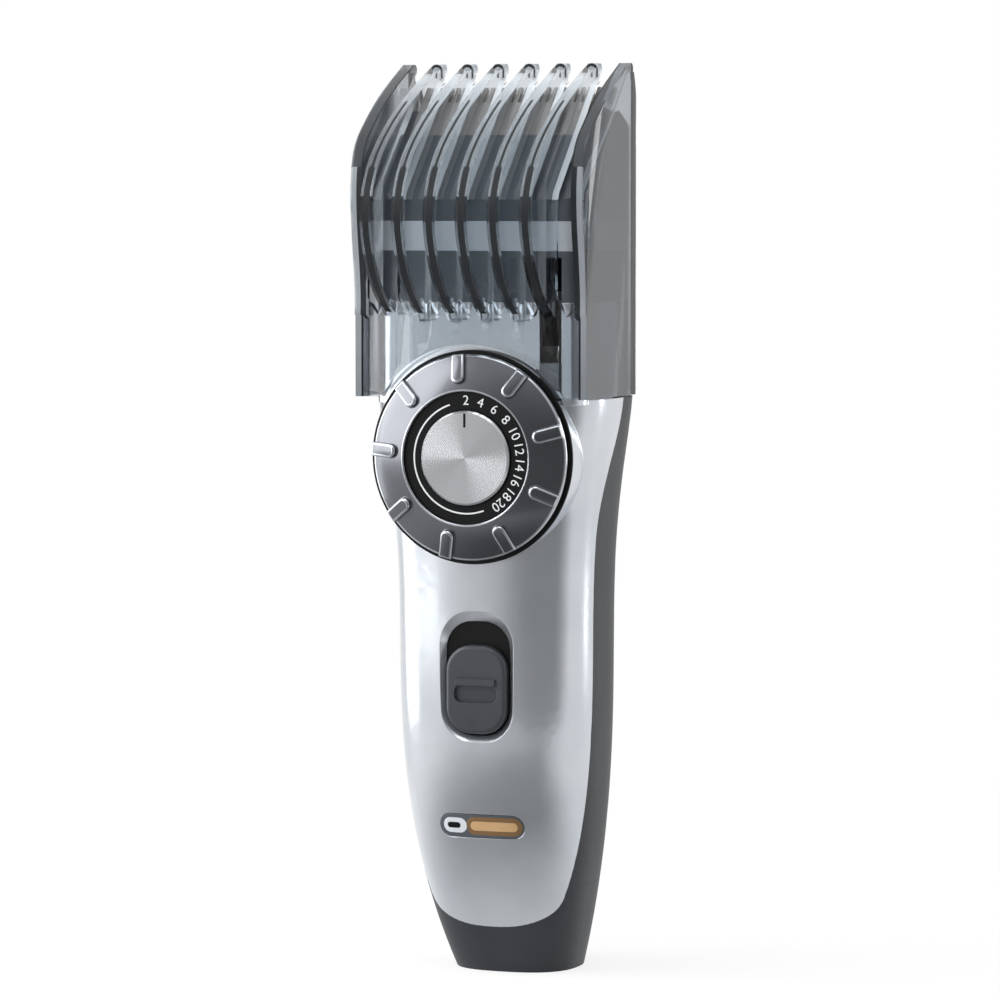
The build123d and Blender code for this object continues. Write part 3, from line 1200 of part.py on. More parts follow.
# Battery and its contact strips, which reach the board
with BuildPart() as battery_cell:
    post(CELL_RADIUS, CELL_BOTTOM, CELL_TOP - CELL_BUTTON_HEIGHT)
    post(CELL_BUTTON_RADIUS, CELL_TOP - CELL_BUTTON_HEIGHT, CELL_TOP)
battery_cell.part.label = "battery_cell"
export_step(battery_cell.part, "parts/battery_cell.step")

CONTACT_X = (-CONTACT_WIDTH / 2, CONTACT_WIDTH / 2)
CONTACT_TAIL_Y = (BOARD_REAR, BOARD_REAR + CONTACT_THICKNESS)
with BuildPart() as battery_contacts:
    block(CONTACT_X, (BOARD_REAR, CONTACT_REAR), (CELL_BOTTOM - CONTACT_THICKNESS, CELL_BOTTOM))
    block(CONTACT_X, CONTACT_TAIL_Y, (CELL_BOTTOM, BOARD_BOTTOM + CONTACT_TAIL))
    block(CONTACT_X, (BOARD_REAR, CONTACT_REAR), (CELL_TOP, CELL_TOP + CONTACT_THICKNESS))
    block(CONTACT_X, CONTACT_TAIL_Y, (BOARD_TOP - CONTACT_TAIL, CELL_TOP))
battery_contacts.part.label = "battery_contacts"
export_step(battery_contacts.part, "parts/battery_contacts.step")

# Motor: can, magnet ring, end cap and cradle
CAN_TOP = SHELL_TOP
with BuildPart() as motor_can:
    post(MOTOR_RADIUS, MOTOR_BOTTOM, CAN_TOP, y=MOTOR_Y)
    post(NOSE_RADIUS, CAN_TOP, CAN_TOP + NOSE_HEIGHT, y=MOTOR_Y)
    post(MOTOR_RADIUS - CAN_WALL, MOTOR_BOTTOM, CAN_TOP - CAN_ROOF, y=MOTOR_Y, mode=Mode.SUBTRACT)
    post(SHAFT_RADIUS + RUNNING_FIT, MOTOR_BOTTOM, CAN_TOP + NOSE_HEIGHT, y=MOTOR_Y, mode=Mode.SUBTRACT)
    for x in (-MOTOR_SCREW_X, MOTOR_SCREW_X):
        post(SCREW_RADIUS, CAN_TOP - CAN_ROOF, CAN_TOP, x, MOTOR_Y, mode=Mode.SUBTRACT)
motor_can.part.label = "motor_can"
export_step(motor_can.part, "parts/motor_can.step")

with BuildPart() as motor_screws:
    seat = SHELL_TOP + FRAME_FLOOR
    for x in (-MOTOR_SCREW_X, MOTOR_SCREW_X):
        post(SCREW_RADIUS, CAN_TOP - CAN_ROOF, seat, x, MOTOR_Y)
        post(MOTOR_SCREW_HEAD_RADIUS, seat, seat + MOTOR_SCREW_HEAD_HEIGHT, x, MOTOR_Y)
motor_screws.part.label = "motor_screws"
export_step(motor_screws.part, "parts/motor_screws.step")

MAGNET_OUTER = MOTOR_RADIUS - CAN_WALL
with BuildPart() as motor_magnets:
    with BuildSketch(Plane.XY.offset(MOTOR_BOTTOM + MAGNET_RISE)):
        with Locations((0, MOTOR_Y)):
            Circle(MAGNET_OUTER)
            Circle(MAGNET_OUTER - MAGNET_THICKNESS, mode=Mode.SUBTRACT)
            Rectangle(MAGNET_SPLIT, REACH, mode=Mode.SUBTRACT)
    extrude(amount=MAGNET_LENGTH)
motor_magnets.part.label = "motor_magnets"
export_step(motor_magnets.part, "parts/motor_magnets.step")

END_CAP_BOTTOM = MOTOR_BOTTOM - END_CAP_HEIGHT
with BuildPart() as motor_end_cap:
    post(MOTOR_RADIUS, END_CAP_BOTTOM, MOTOR_BOTTOM, y=MOTOR_Y)
    post(SHAFT_RADIUS + RUNNING_FIT, END_CAP_BOTTOM, MOTOR_BOTTOM, y=MOTOR_Y, mode=Mode.SUBTRACT)
motor_end_cap.part.label = "motor_end_cap"
export_step(motor_end_cap.part, "parts/motor_end_cap.step")

CRADLE_Z = (END_CAP_BOTTOM - CRADLE_FLOOR, MOTOR_BOTTOM + CRADLE_HEIGHT)
with BuildPart() as motor_cradle:
    post(MOTOR_RADIUS + FIT + CRADLE_WALL, CRADLE_Z[0], CRADLE_Z[1], y=MOTOR_Y)
    foot_depth = (MOTOR_Y, GRIP_REAR - WALL - CLEARANCE)
    block((-CRADLE_FOOT_HALF_WIDTH, CRADLE_FOOT_HALF_WIDTH), foot_depth, CRADLE_Z)
    post(MOTOR_RADIUS + FIT, END_CAP_BOTTOM, CRADLE_Z[1], y=MOTOR_Y, mode=Mode.SUBTRACT)
    post(MOTOR_RADIUS - CRADLE_LEDGE, CRADLE_Z[0], CRADLE_Z[1], y=MOTOR_Y, mode=Mode.SUBTRACT)
    block((-REACH, REACH), (-REACH, PLATE_REAR + CLEARANCE), CRADLE_Z, mode=Mode.SUBTRACT)
motor_cradle.part.label = "motor_cradle"
export_step(motor_cradle.part, "parts/motor_cradle.step")

# Turning pieces of the motor
with BuildPart() as motor_shaft:
    post(SHAFT_RADIUS, END_CAP_BOTTOM, CAM_TOP - CAM_ROOF, y=MOTOR_Y)
motor_shaft.part.label = "motor_shaft"
export_step(motor_shaft.part, "parts/motor_shaft.step")

with BuildPart() as motor_rotor:
    post(ROTOR_RADIUS, MOTOR_BOTTOM + ROTOR_BOTTOM_GAP, CAN_TOP - ROTOR_TOP_GAP, y=MOTOR_Y)
    post(SHAFT_RADIUS, MOTOR_BOTTOM, CAN_TOP, y=MOTOR_Y, mode=Mode.SUBTRACT)
motor_rotor.part.label = "motor_rotor"
export_step(motor_rotor.part, "parts/motor_rotor.step")

with BuildPart() as eccentric_cam:
    post(CAM_RADIUS, CAM_BOTTOM, CAM_TOP, y=MOTOR_Y)
    post(CRANK_PIN_RADIUS, CAM_TOP, CRANK_PIN_TOP, y=MOTOR_Y - CRANK_RADIUS)
    post(SHAFT_RADIUS, CAM_BOTTOM, CAM_TOP - CAM_ROOF, y=MOTOR_Y, mode=Mode.SUBTRACT)
eccentric_cam.part.label = "eccentric_cam"
export_step(eccentric_cam.part, "parts/eccentric_cam.step")
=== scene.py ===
"""Looks of a cordless hair clipper with a guide comb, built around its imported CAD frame.

Everything is in metres in the frame's own axes: the front faces -Y, X is to the right, Z is up.
"""

from __future__ import annotations

import logging
import math
from dataclasses import dataclass, field
from enum import Enum

import bmesh
import bpy
from mathutils import Matrix, Vector
from mathutils.bvhtree import BVHTree

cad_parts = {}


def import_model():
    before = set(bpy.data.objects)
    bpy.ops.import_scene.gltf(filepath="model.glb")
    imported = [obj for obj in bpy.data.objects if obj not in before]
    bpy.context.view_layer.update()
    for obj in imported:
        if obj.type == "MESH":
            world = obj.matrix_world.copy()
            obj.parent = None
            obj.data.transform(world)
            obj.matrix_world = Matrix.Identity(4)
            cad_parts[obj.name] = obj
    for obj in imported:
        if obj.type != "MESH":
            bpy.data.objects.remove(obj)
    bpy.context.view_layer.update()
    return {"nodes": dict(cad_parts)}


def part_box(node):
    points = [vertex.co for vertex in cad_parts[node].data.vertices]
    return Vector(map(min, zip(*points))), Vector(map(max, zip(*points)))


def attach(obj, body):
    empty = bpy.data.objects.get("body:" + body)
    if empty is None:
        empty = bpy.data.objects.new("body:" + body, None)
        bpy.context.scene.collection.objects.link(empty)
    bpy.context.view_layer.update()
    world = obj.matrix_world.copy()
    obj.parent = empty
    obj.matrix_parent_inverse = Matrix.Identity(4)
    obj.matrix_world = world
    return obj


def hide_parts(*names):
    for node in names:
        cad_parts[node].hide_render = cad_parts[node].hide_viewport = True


LOG = logging.getLogger("clipper")
MM = 0.001
# Corners nearer to each other than this are one corner
WELD = 0.001 * MM
# Metres from crest to crest of a wave texture of scale one
WAVE_LENGTH = math.tau / 20.0
# Turns an anisotropic highlight from along the tangent to across it
QUARTER_TURN = 0.25


class Body(Enum):
    """Bodies of the frame that new pieces ride on."""

    HANDLE = "handle"
    DIAL = "dial"
    COMB = "comb"


def linear(hex_colour: str) -> tuple[float, float, float, float]:
    """Turn an sRGB hex colour into linear RGBA.

    Args:
        hex_colour: six hex digits, with or without a leading hash.

    Returns:
        Red, green, blue and an alpha of one.
    """
    digits = hex_colour.lstrip("#")
    shares = [int(digits[start : start + 2], 16) / 255 for start in (0, 2, 4)]
    curve = [s / 12.92 if s <= 0.04045 else ((s + 0.055) / 1.055) ** 2.4 for s in shares]
    return (curve[0], curve[1], curve[2], 1.0)


def per_metre(size_mm: float) -> float:
    """Pattern scale whose features are size_mm across on Object coordinates."""
    return 1.0 / (size_mm * MM)


def add_node(
    tree: bpy.types.NodeTree, kind: str, settings: dict | None = None, links: dict | None = None
) -> bpy.types.Node:
    """Add a node with its settings and links.

    Args:
        tree: node tree that takes the node.
        kind: Blender's name of the node type, without its ShaderNode.
        settings: attribute or input names and their values; a number picks an input by its place.
        links: input name or place and the output socket that feeds it.

    Returns:
        The new node.
    """
    node = tree.nodes.new("ShaderNode" + kind)
    for name, value in (settings or {}).items():
        if isinstance(name, str) and hasattr(node, name):
            setattr(node, name, value)
        else:
            node.inputs[name].default_value = value
    for name, socket in (links or {}).items():
        tree.links.new(socket, node.inputs[name])
    return node


def new_material(name: str) -> tuple[bpy.types.Material, bpy.types.NodeTree]:
    """Start a material.

    Args:
        name: the real material's name.

    Returns:
        The material and its emptied tree.
    """
    material = bpy.data.materials.new(name)
    material.use_nodes = True
    material.node_tree.nodes.clear()
    return material, material.node_tree


@dataclass(frozen=True)
class Moulded:
    """Moulded or painted plastic: two close shades, a fine grain and softly rounded edges.

    Attributes:
        name: the real material.
        light: lighter shade.
        dark: darker shade.
        roughness: lowest and highest roughness.
        grain_mm: size of the grain.
        grain_depth_mm: depth of the grain.
        metallic: share of metal flake in the paint.
        coat: clear coat over it.
        shine: mirror share, where a half is plain plastic.
        edge_mm: radius of the broken edges.
        flow_mm: size of the mould's slow flow marks, about a finger wide.
        grain_share: how much the grain adds to the flow marks in the shade.
        shade_range: where the darker shade ends and the lighter one starts in both together.
        relief: strength of the grain's relief.
        coat_roughness: roughness of the clear coat.
    """

    name: str
    light: str
    dark: str
    roughness: tuple[float, float]
    grain_mm: float
    grain_depth_mm: float
    metallic: float = 0.0
    coat: float = 0.0
    shine: float = 0.5
    edge_mm: float = 0.25
    flow_mm: float = 18.0
    grain_share: float = 0.35
    shade_range: tuple[float, float] = (0.45, 0.9)
    relief: float = 0.6
    coat_roughness: float = 0.08

    def build(self) -> bpy.types.Material:
        """Make the material.

        Returns:
            The material.
        """
        material, tree = new_material(self.name)
        where = add_node(tree, "TexCoord").outputs["Object"]
        flow = add_node(
            tree, "TexNoise", {"Scale": per_metre(self.flow_mm), "Detail": 2.0}, {"Vector": where}
        )
        grain = add_node(
            tree, "TexNoise", {"Scale": per_metre(self.grain_mm), "Detail": 3.0}, {"Vector": where}
        )
        both = add_node(
            tree,
            "Math",
            {"operation": "MULTIPLY_ADD", 1: self.grain_share},
            {0: grain.outputs["Fac"], 2: flow.outputs["Fac"]},
        )
        shade = add_node(tree, "ValToRGB", links={"Fac": both.outputs[0]})
        for stop, place, colour in zip(shade.color_ramp.elements, self.shade_range, (self.dark, self.light)):
            stop.position = place
            stop.color = linear(colour)
        gloss = add_node(
            tree,
            "MapRange",
            {"To Min": self.roughness[0], "To Max": self.roughness[1]},
            {"Value": grain.outputs["Fac"]},
        )
        edge = add_node(tree, "Bevel", {"samples": 4, "Radius": self.edge_mm * MM})
        relief = add_node(
            tree,
            "Bump",
            {"Strength": self.relief, "Distance": self.grain_depth_mm * MM},
            {"Height": grain.outputs["Fac"], "Normal": edge.outputs["Normal"]},
        )
        shader = add_node(
            tree,
            "BsdfPrincipled",
            {
                "Metallic": self.metallic,
                "Specular IOR Level": self.shine,
                "Coat Weight": self.coat,
                "Coat Roughness": self.coat_roughness,
            },
            {
                "Base Color": shade.outputs["Color"],
                "Roughness": gloss.outputs["Result"],
                "Normal": relief.outputs["Normal"],
            },
        )
        add_node(tree, "OutputMaterial", links={"Surface": shader.outputs["BSDF"]})
        return material


@dataclass(frozen=True)
class Ground:
    """Metal with fine straight tool marks.

    Attributes:
        name: the real material.
        light: lighter shade.
        dark: darker shade.
        roughness: roughness across the marks.
        stretch: size of a mark along X, Y and Z in millimetres.
        shade_range: where the darker shade ends and the lighter one starts in the marks.
        gloss_range: least and greatest share of the roughness.
    """

    name: str
    light: str
    dark: str
    roughness: float
    stretch: tuple[float, float, float]
    shade_range: tuple[float, float] = (0.3, 0.7)
    gloss_range: tuple[float, float] = (0.8, 1.25)

    def build(self) -> bpy.types.Material:
        """Make the material.

        Returns:
            The material.
        """
        material, tree = new_material(self.name)
        where = add_node(tree, "TexCoord").outputs["Object"]
        scale = tuple(per_metre(size) for size in self.stretch)
        drawn = add_node(tree, "Mapping", {"Scale": scale}, {"Vector": where})
        marks = add_node(
            tree, "TexNoise", {"Scale": 1.0, "Detail": 4.0}, {"Vector": drawn.outputs["Vector"]}
        )
        shade = add_node(tree, "ValToRGB", links={"Fac": marks.outputs["Fac"]})
        for stop, place, colour in zip(shade.color_ramp.elements, self.shade_range, (self.dark, self.light)):
            stop.position = place
            stop.color = linear(colour)
        least, greatest = (self.roughness * share for share in self.gloss_range)
        gloss = add_node(
            tree, "MapRange", {"To Min": least, "To Max": greatest}, {"Value": marks.outputs["Fac"]}
        )
        shader = add_node(
            tree,
            "BsdfPrincipled",
            {"Metallic": 1.0},
            {"Base Color": shade.outputs["Color"], "Roughness": gloss.outputs["Result"]},
        )
        add_node(tree, "OutputMaterial", links={"Surface": shader.outputs["BSDF"]})
        return material


@dataclass(frozen=True)
class Turned:
    """Metal spun on a lathe: fine rings about the Y axis draw each lamp out into a wedge of light.

    Attributes:
        name: the real material.
        light: lighter shade.
        dark: darker shade.
        centre: point on the axis.
        roughness: roughness across the rings.
        ring_mm: spacing of the rings, drawn coarser than a real tool mark so that they show.
        wobble: how far the rings stray.
        anisotropy: how far the light is drawn out.
        gloss_range: least and greatest share of the roughness.
    """

    name: str
    light: str
    dark: str
    centre: tuple[float, float, float]
    roughness: float = 0.24
    ring_mm: float = 0.32
    wobble: float = 0.6
    anisotropy: float = 0.95
    gloss_range: tuple[float, float] = (0.9, 1.1)

    def build(self) -> bpy.types.Material:
        """Make the material.

        Returns:
            The material.
        """
        material, tree = new_material(self.name)
        where = add_node(tree, "TexCoord").outputs["Object"]
        shift = tuple(-value for value in self.centre)
        centred = add_node(tree, "Mapping", {"Location": shift}, {"Vector": where})
        rings = add_node(
            tree,
            "TexWave",
            {
                "wave_type": "RINGS",
                "rings_direction": "Y",
                "Scale": per_metre(self.ring_mm) * WAVE_LENGTH,
                "Distortion": self.wobble,
                "Detail": 2.0,
            },
            {"Vector": centred.outputs["Vector"]},
        )
        shade = add_node(tree, "ValToRGB", links={"Fac": rings.outputs["Fac"]})
        for stop, colour in zip(shade.color_ramp.elements, (self.dark, self.light)):
            stop.color = linear(colour)
        least, greatest = (self.roughness * share for share in self.gloss_range)
        gloss = add_node(
            tree, "MapRange", {"To Min": least, "To Max": greatest}, {"Value": rings.outputs["Fac"]}
        )
        around_axis = add_node(tree, "Tangent", {"direction_type": "RADIAL", "axis": "Y"})
        shader = add_node(
            tree,
            "BsdfPrincipled",
            {"Metallic": 1.0, "Anisotropic": self.anisotropy, "Anisotropic Rotation": QUARTER_TURN},
            {
                "Base Color": shade.outputs["Color"],
                "Roughness": gloss.outputs["Result"],
                "Tangent": around_axis.outputs["Tangent"],
            },
        )
        add_node(tree, "OutputMaterial", links={"Surface": shader.outputs["BSDF"]})
        return material


@dataclass(frozen=True)
class ClearMoulding:
    """Clear polycarbonate: polished faces, a tint that deepens with thickness, faint flow lines.

    Attributes:
        name: the real material.
        tint: colour that a wall of it passes on.
        shade: colour of its shadow.
        depth_mm: thickness that passes about a third of the light.
        roughness: polish of the faces.
        ior: how strongly it bends light, lower than the real one for a wall too thin to shift what is behind.
        face: colour of the faces.
        clear: share of light that passes the faces.
        coat: polish over the faces.
        flow_mm: size of the flow lines.
        gloss_range: least and greatest share of the roughness.
    """

    name: str
    tint: str
    shade: str
    depth_mm: float
    roughness: float = 0.02
    ior: float = 1.5
    face: str = "#ffffff"
    clear: float = 1.0
    coat: float = 0.6
    flow_mm: float = 6.0
    gloss_range: tuple[float, float] = (1.0, 2.5)

    def build(self) -> bpy.types.Material:
        """Make the material.

        Returns:
            The material.
        """
        material, tree = new_material(self.name)
        where = add_node(tree, "TexCoord").outputs["Object"]
        flow = add_node(
            tree, "TexNoise", {"Scale": per_metre(self.flow_mm), "Detail": 2.0}, {"Vector": where}
        )
        least, greatest = (self.roughness * share for share in self.gloss_range)
        gloss = add_node(
            tree, "MapRange", {"To Min": least, "To Max": greatest}, {"Value": flow.outputs["Fac"]}
        )
        shader = add_node(
            tree,
            "BsdfPrincipled",
            {
                "Base Color": linear(self.face),
                "IOR": self.ior,
                "Transmission Weight": self.clear,
                "Coat Weight": self.coat,
            },
            {"Roughness": gloss.outputs["Result"]},
        )
        # Lamps shine through the walls on what is behind them
        path = add_node(tree, "LightPath")
        passed = add_node(tree, "BsdfTransparent", {"Color": linear(self.shade)})
        either = add_node(
            tree,
            "MixShader",
            links={0: path.outputs["Is Shadow Ray"], 1: shader.outputs["BSDF"], 2: passed.outputs["BSDF"]},
        )
        absorb = add_node(
            tree, "VolumeAbsorption", {"Color": linear(self.tint), "Density": per_metre(self.depth_mm)}
        )
        add_node(
            tree,
            "OutputMaterial",
            links={"Surface": either.outputs["Shader"], "Volume": absorb.outputs["Volume"]},
        )
        return material


Finish = Moulded | Ground | Turned | ClearMoulding

DIAL_HEIGHT = 98.3 * MM

# Metal flake under a thin clear coat: mirrors the softboxes as broad soft bands
SILVER_PAINT = Moulded(
    "metallic_silver_paint_on_abs", "#ccd0d5", "#bec3c9", (0.17, 0.23), 0.12, 0.003, metallic=0.9, coat=0.2
)
# Grained in the mould: charcoal without a clear highlight
DARK_ABS = Moulded("textured_dark_grey_abs", "#34373b", "#2a2d31", (0.38, 0.5), 0.35, 0.015, shine=0.2)
# Dark flake paint: goes from near black to pale grey round the cone
DIAL_PAINT = Moulded(
    "dark_metallic_painted_abs", "#64666b", "#56585d", (0.2, 0.27), 0.15, 0.003, metallic=0.95, coat=0.45
)
# Painted highlight: lighter metal on the rounded edges draws a thin bright line round the ring and each nub
DIAL_HIGHLIGHT = Moulded("painted_highlight_dial_edge", "#b9bdc2", "#a6aab0", (0.14, 0.2), 0.3, 0.002, metallic=1.0)
# Fine satin black: a dark ground on which white print stands out
BLACK_ABS = Moulded("satin_black_abs", "#0d0e10", "#08090a", (0.4, 0.5), 0.3, 0.006, shine=0.15)
# Satin grey: a faint sheen along the knob's scoop and ridge
KNOB_ABS = Moulded("satin_dark_grey_abs", "#3b3e43", "#303338", (0.3, 0.4), 0.3, 0.008, coat=0.1, shine=0.3)
# Glossy grey: the dark bands of the head behind the clear comb
HEAD_ABS = Moulded("glossy_dark_grey_abs", "#555b61", "#484e54", (0.25, 0.35), 0.4, 0.006, coat=0.3)
# Pale grey: the light band between them
BAND_ABS = Moulded("light_grey_abs", "#c3c7cc", "#b4b9bf", (0.3, 0.4), 0.4, 0.006, coat=0.2)
# Flat white ink: crisp, with no shine of its own
PRINT_INK = Moulded("white_pad_print_ink", "#e6e8ea", "#d6d9dc", (0.5, 0.6), 0.2, 0.002)
# Smoked window: dark and glassy
SMOKED_ACRYLIC = Moulded("smoked_acrylic", "#4b5056", "#3d4247", (0.18, 0.26), 0.5, 0.002, coat=0.4)
# Brown frame: sets off the amber that it holds
BROWN_ACRYLIC = Moulded("brown_acrylic", "#735736", "#654b2d", (0.18, 0.26), 0.5, 0.002, coat=0.4)
# Amber light that is off: warm and a little milky
AMBER_ACRYLIC = Moulded("amber_acrylic", "#b8966c", "#a9875c", (0.2, 0.28), 0.5, 0.004, coat=0.4)
# Unpigmented acetal: milky and waxy
INNER_ACETAL = Moulded("natural_acetal", "#d6d5cf", "#c6c5be", (0.4, 0.5), 0.5, 0.006)
# Rubber: black and dull
SEAL_RUBBER = Moulded("nitrile_rubber", "#1c1c1d", "#141415", (0.55, 0.7), 0.3, 0.01)
# Lacquer over copper: green with a low gloss
BOARD_EPOXY = Moulded("green_solder_mask", "#1f5c38", "#194c2e", (0.3, 0.4), 0.6, 0.01)
# Shrunk film: thin, tight and shiny
CELL_FILM = Moulded("shrink_film", "#2f6f5a", "#27604d", (0.2, 0.3), 0.8, 0.006, coat=0.5)
# Ground steel: fine marks from front to back and a grey gleam
BLADE_STEEL = Ground("ground_blade_steel", "#9b9895", "#84817e", 0.3, (0.3, 8.0, 8.0))
# Plated steel: an even pale gleam
SCREW_STEEL = Ground("plated_steel", "#b0b2b5", "#94979b", 0.3, (0.6, 0.6, 0.6))
# Stacked iron sheets: thin brown-grey layers
LAYERED_IRON = Ground("laminated_iron", "#6e5a4c", "#54463c", 0.45, (6.0, 6.0, 0.5))
# Rolled brass: warm and bright, drawn along its length
BRASS = Ground("rolled_brass", "#cda55c", "#b58f4b", 0.28, (0.5, 0.5, 6.0))
# Spun face: opposite wedges of light that meet in the middle
SPUN_ALUMINIUM = Turned("spun_aluminium", "#c6c8cb", "#bbbdc0", (0.0, 0.0, DIAL_HEIGHT))
# Clear grey walls: what is behind shows through, darker where walls overlap
SMOKE_POLYCARBONATE = ClearMoulding(
    "smoke_grey_polycarbonate", "#8d959c", "#eef0f2", 14.0, ior=1.14, face="#e2e6e9"
)
# Satin outer sides: the head behind them is only guessed
SIDE_POLYCARBONATE = ClearMoulding(
    "satin_smoke_polycarbonate", "#8d959c", "#b4bac0", 9.0, 0.12, ior=1.14, face="#a9b1b8", clear=0.9
)
# Round clear ends: each catches a white glint
TIP_POLYCARBONATE = ClearMoulding("clear_polycarbonate", "#a9b1b8", "#d3d7db", 12.0)
# Painted shade: opaque dark lines along the tines stand in for edges that lead the light away
SHADE_LINE_POLYCARBONATE = Moulded(
    "painted_shade_polycarbonate_edge", "#1c2024", "#14171a", (0.3, 0.4), 0.6, 0.003, shine=0.25
)
# Painted highlight: opaque white on the rear edges draws white threads near the tips
HIGHLIGHT_POLYCARBONATE = Moulded("painted_highlight_polycarbonate_edge", "#f3f5f6", "#e7eaec", (0.35, 0.45), 0.4, 0.004)
# Painted sheen: a satin opaque grey on the end panels' front rims stands in for the light that the clear rims
# catch, in strips beside the dark lines
SHEEN_RIM_POLYCARBONATE = Moulded("painted_sheen_polycarbonate_rim", "#8b9095", "#7d8388", (0.3, 0.4), 0.4, 0.004)

NODE_FINISHES: dict[str, Finish] = {
    "front_shell": SILVER_PAINT,
    "rear_shell": DARK_ABS,
    "base_cap": DARK_ABS,
    "shell_seal": SEAL_RUBBER,
    "shell_screws": SCREW_STEEL,
    "charging_socket": BLACK_ABS,
    "socket_pins": BRASS,
    "head_frame": HEAD_ABS,
    "blade_base": BAND_ABS,
    "blade_holder": HEAD_ABS,
    "fixed_blade": BLADE_STEEL,
    "moving_blade": BLADE_STEEL,
    "blade_carrier": INNER_ACETAL,
    "blade_spring": SCREW_STEEL,
    "dial_ring": DIAL_PAINT,
    "number_ring": BLACK_ABS,
    "dial_hub": INNER_ACETAL,
    "dial_seal": SEAL_RUBBER,
    "dial_cap": SPUN_ALUMINIUM,
    "dial_screw": SCREW_STEEL,
    "mechanism_plate": INNER_ACETAL,
    "plate_screws": SCREW_STEEL,
    "detent_spring": SCREW_STEEL,
    "comb_carriage": HEAD_ABS,
    "guide_comb": SMOKE_POLYCARBONATE,
    "switch_plate": BLACK_ABS,
    "switch_knob": KNOB_ABS,
    "switch_slider": INNER_ACETAL,
    "slide_switch": BLACK_ABS,
    "circuit_board": BOARD_EPOXY,
    "status_led": AMBER_ACRYLIC,
    "indicator_lens": SMOKED_ACRYLIC,
    "battery_cell": CELL_FILM,
    "battery_contacts": BRASS,
    "motor_can": SCREW_STEEL,
    "motor_screws": SCREW_STEEL,
    "motor_magnets": LAYERED_IRON,
    "motor_end_cap": INNER_ACETAL,
    "motor_cradle": INNER_ACETAL,
    "motor_shaft": SCREW_STEEL,
    "motor_rotor": LAYERED_IRON,
    "eccentric_cam": INNER_ACETAL,
}


@dataclass
class Palette:
    """Materials of the clipper, each made once.

    Attributes:
        made: materials by the name of their finish.
    """

    made: dict[str, bpy.types.Material] = field(default_factory=dict)

    def of(self, finish: Finish) -> bpy.types.Material:
        """Give the material of a finish, making it on first use.

        Args:
            finish: the finish.

        Returns:
            Its material.
        """
        if finish.name not in self.made:
            self.made[finish.name] = finish.build()
        return self.made[finish.name]


def mesh_object(
    name: str, shape: bmesh.types.BMesh, materials: list[bpy.types.Material], crease: float = 32.0
) -> bpy.types.Object:
    """Turn a bmesh into a smoothly shaded object at the origin, and free the bmesh.

    Args:
        name: the object's name.
        shape: its mesh, already in place.
        materials: its materials, in slot order.
        crease: angle in degrees from which an edge stays sharp.

    Returns:
        The linked object.
    """
    mesh = bpy.data.meshes.new(name)
    shape.to_mesh(mesh)
    shape.free()
    mesh.shade_smooth()
    mesh.set_sharp_from_angle(angle=math.radians(crease))
    for material in materials:
        mesh.materials.append(material)
    piece = bpy.data.objects.new(name, mesh)
    bpy.context.scene.collection.objects.link(piece)
    return piece


def sharp_edges(shape: bmesh.types.BMesh, degrees: float = 30.0) -> list[bmesh.types.BMEdge]:
    """Edges of a closed mesh whose faces meet at more than an angle."""
    limit = math.radians(degrees)
    return [edge for edge in shape.edges if edge.calc_face_angle(0.0) > limit]


def rounded(
    shape: bmesh.types.BMesh, edges: list[bmesh.types.BMEdge], radius: float, segments: int = 3
) -> list[bmesh.types.BMFace]:
    """Round some edges.

    Args:
        shape: mesh to change.
        edges: edges to round.
        radius: how far the rounding reaches from the edge.
        segments: steps of the rounding.

    Returns:
        The new faces along the edges.
    """
    made = bmesh.ops.bevel(
        shape,
        geom=edges,
        offset=radius,
        offset_type="OFFSET",
        segments=segments,
        profile=0.5,
        affect="EDGES",
        material=-1,
        clamp_overlap=False,
    )
    return made["faces"]


def of_kind(items: list, kind: type) -> list:
    """Those parts of an operator's result that are vertices, edges or faces."""
    return [item for item in items if isinstance(item, kind)]


def every_part(shape: bmesh.types.BMesh) -> list:
    """All vertices, edges and faces of a mesh."""
    return [*shape.verts, *shape.edges, *shape.faces]


def add_copy(shape: bmesh.types.BMesh, mesh: bpy.types.Mesh, place: Matrix) -> None:
    """Add a copy of a mesh to a bmesh at a place.

    Args:
        shape: mesh that takes the copy.
        mesh: what is copied.
        place: where it goes.
    """
    known = set(shape.verts)
    shape.from_mesh(mesh)
    bmesh.ops.transform(shape, matrix=place, verts=[vert for vert in shape.verts if vert not in known])


def spun(
    points: list[tuple[float, float]], height: float, closed: bool, steps: int = 96
) -> bmesh.types.BMesh:
    """Turn an outline about the dial's axis.

    Args:
        points: radius and depth of each corner of the outline.
        height: height of the axis.
        closed: whether the outline closes on itself, or starts and ends on the axis.
        steps: sides of the round.

    Returns:
        A closed mesh.
    """
    shape = bmesh.new()
    verts = [shape.verts.new((radius, depth, height)) for radius, depth in points]
    edges = [shape.edges.new(pair) for pair in zip(verts, verts[1:])]
    if closed:
        edges.append(shape.edges.new((verts[-1], verts[0])))
    bmesh.ops.spin(
        shape,
        geom=verts + edges,
        cent=(0.0, 0.0, height),
        axis=(0.0, 1.0, 0.0),
        angle=math.tau,
        steps=steps,
        use_merge=True,
    )
    bmesh.ops.remove_doubles(shape, verts=shape.verts, dist=WELD)
    bmesh.ops.recalc_face_normals(shape, faces=shape.faces)
    return shape


def around(degrees: float, reach: float, height: float) -> Vector:
    """Point at an azimuth, from the front towards +X, a distance and a height about the clipper."""
    angle = math.radians(degrees)
    return Vector((reach * math.sin(angle), -reach * math.cos(angle), height))


@dataclass(frozen=True)
class Panel:
    """Flat thing that stands beside the clipper.

    Attributes:
        name: its name.
        azimuth: its direction from the front towards +X, in degrees.
        reach: its distance from the clipper's axis.
        height: height of its middle.
        size: its width and height.
    """

    name: str
    azimuth: float
    reach: float
    height: float
    size: tuple[float, float]

    def middle(self) -> Vector:
        """Place of its middle."""
        return around(self.azimuth, self.reach, self.height)


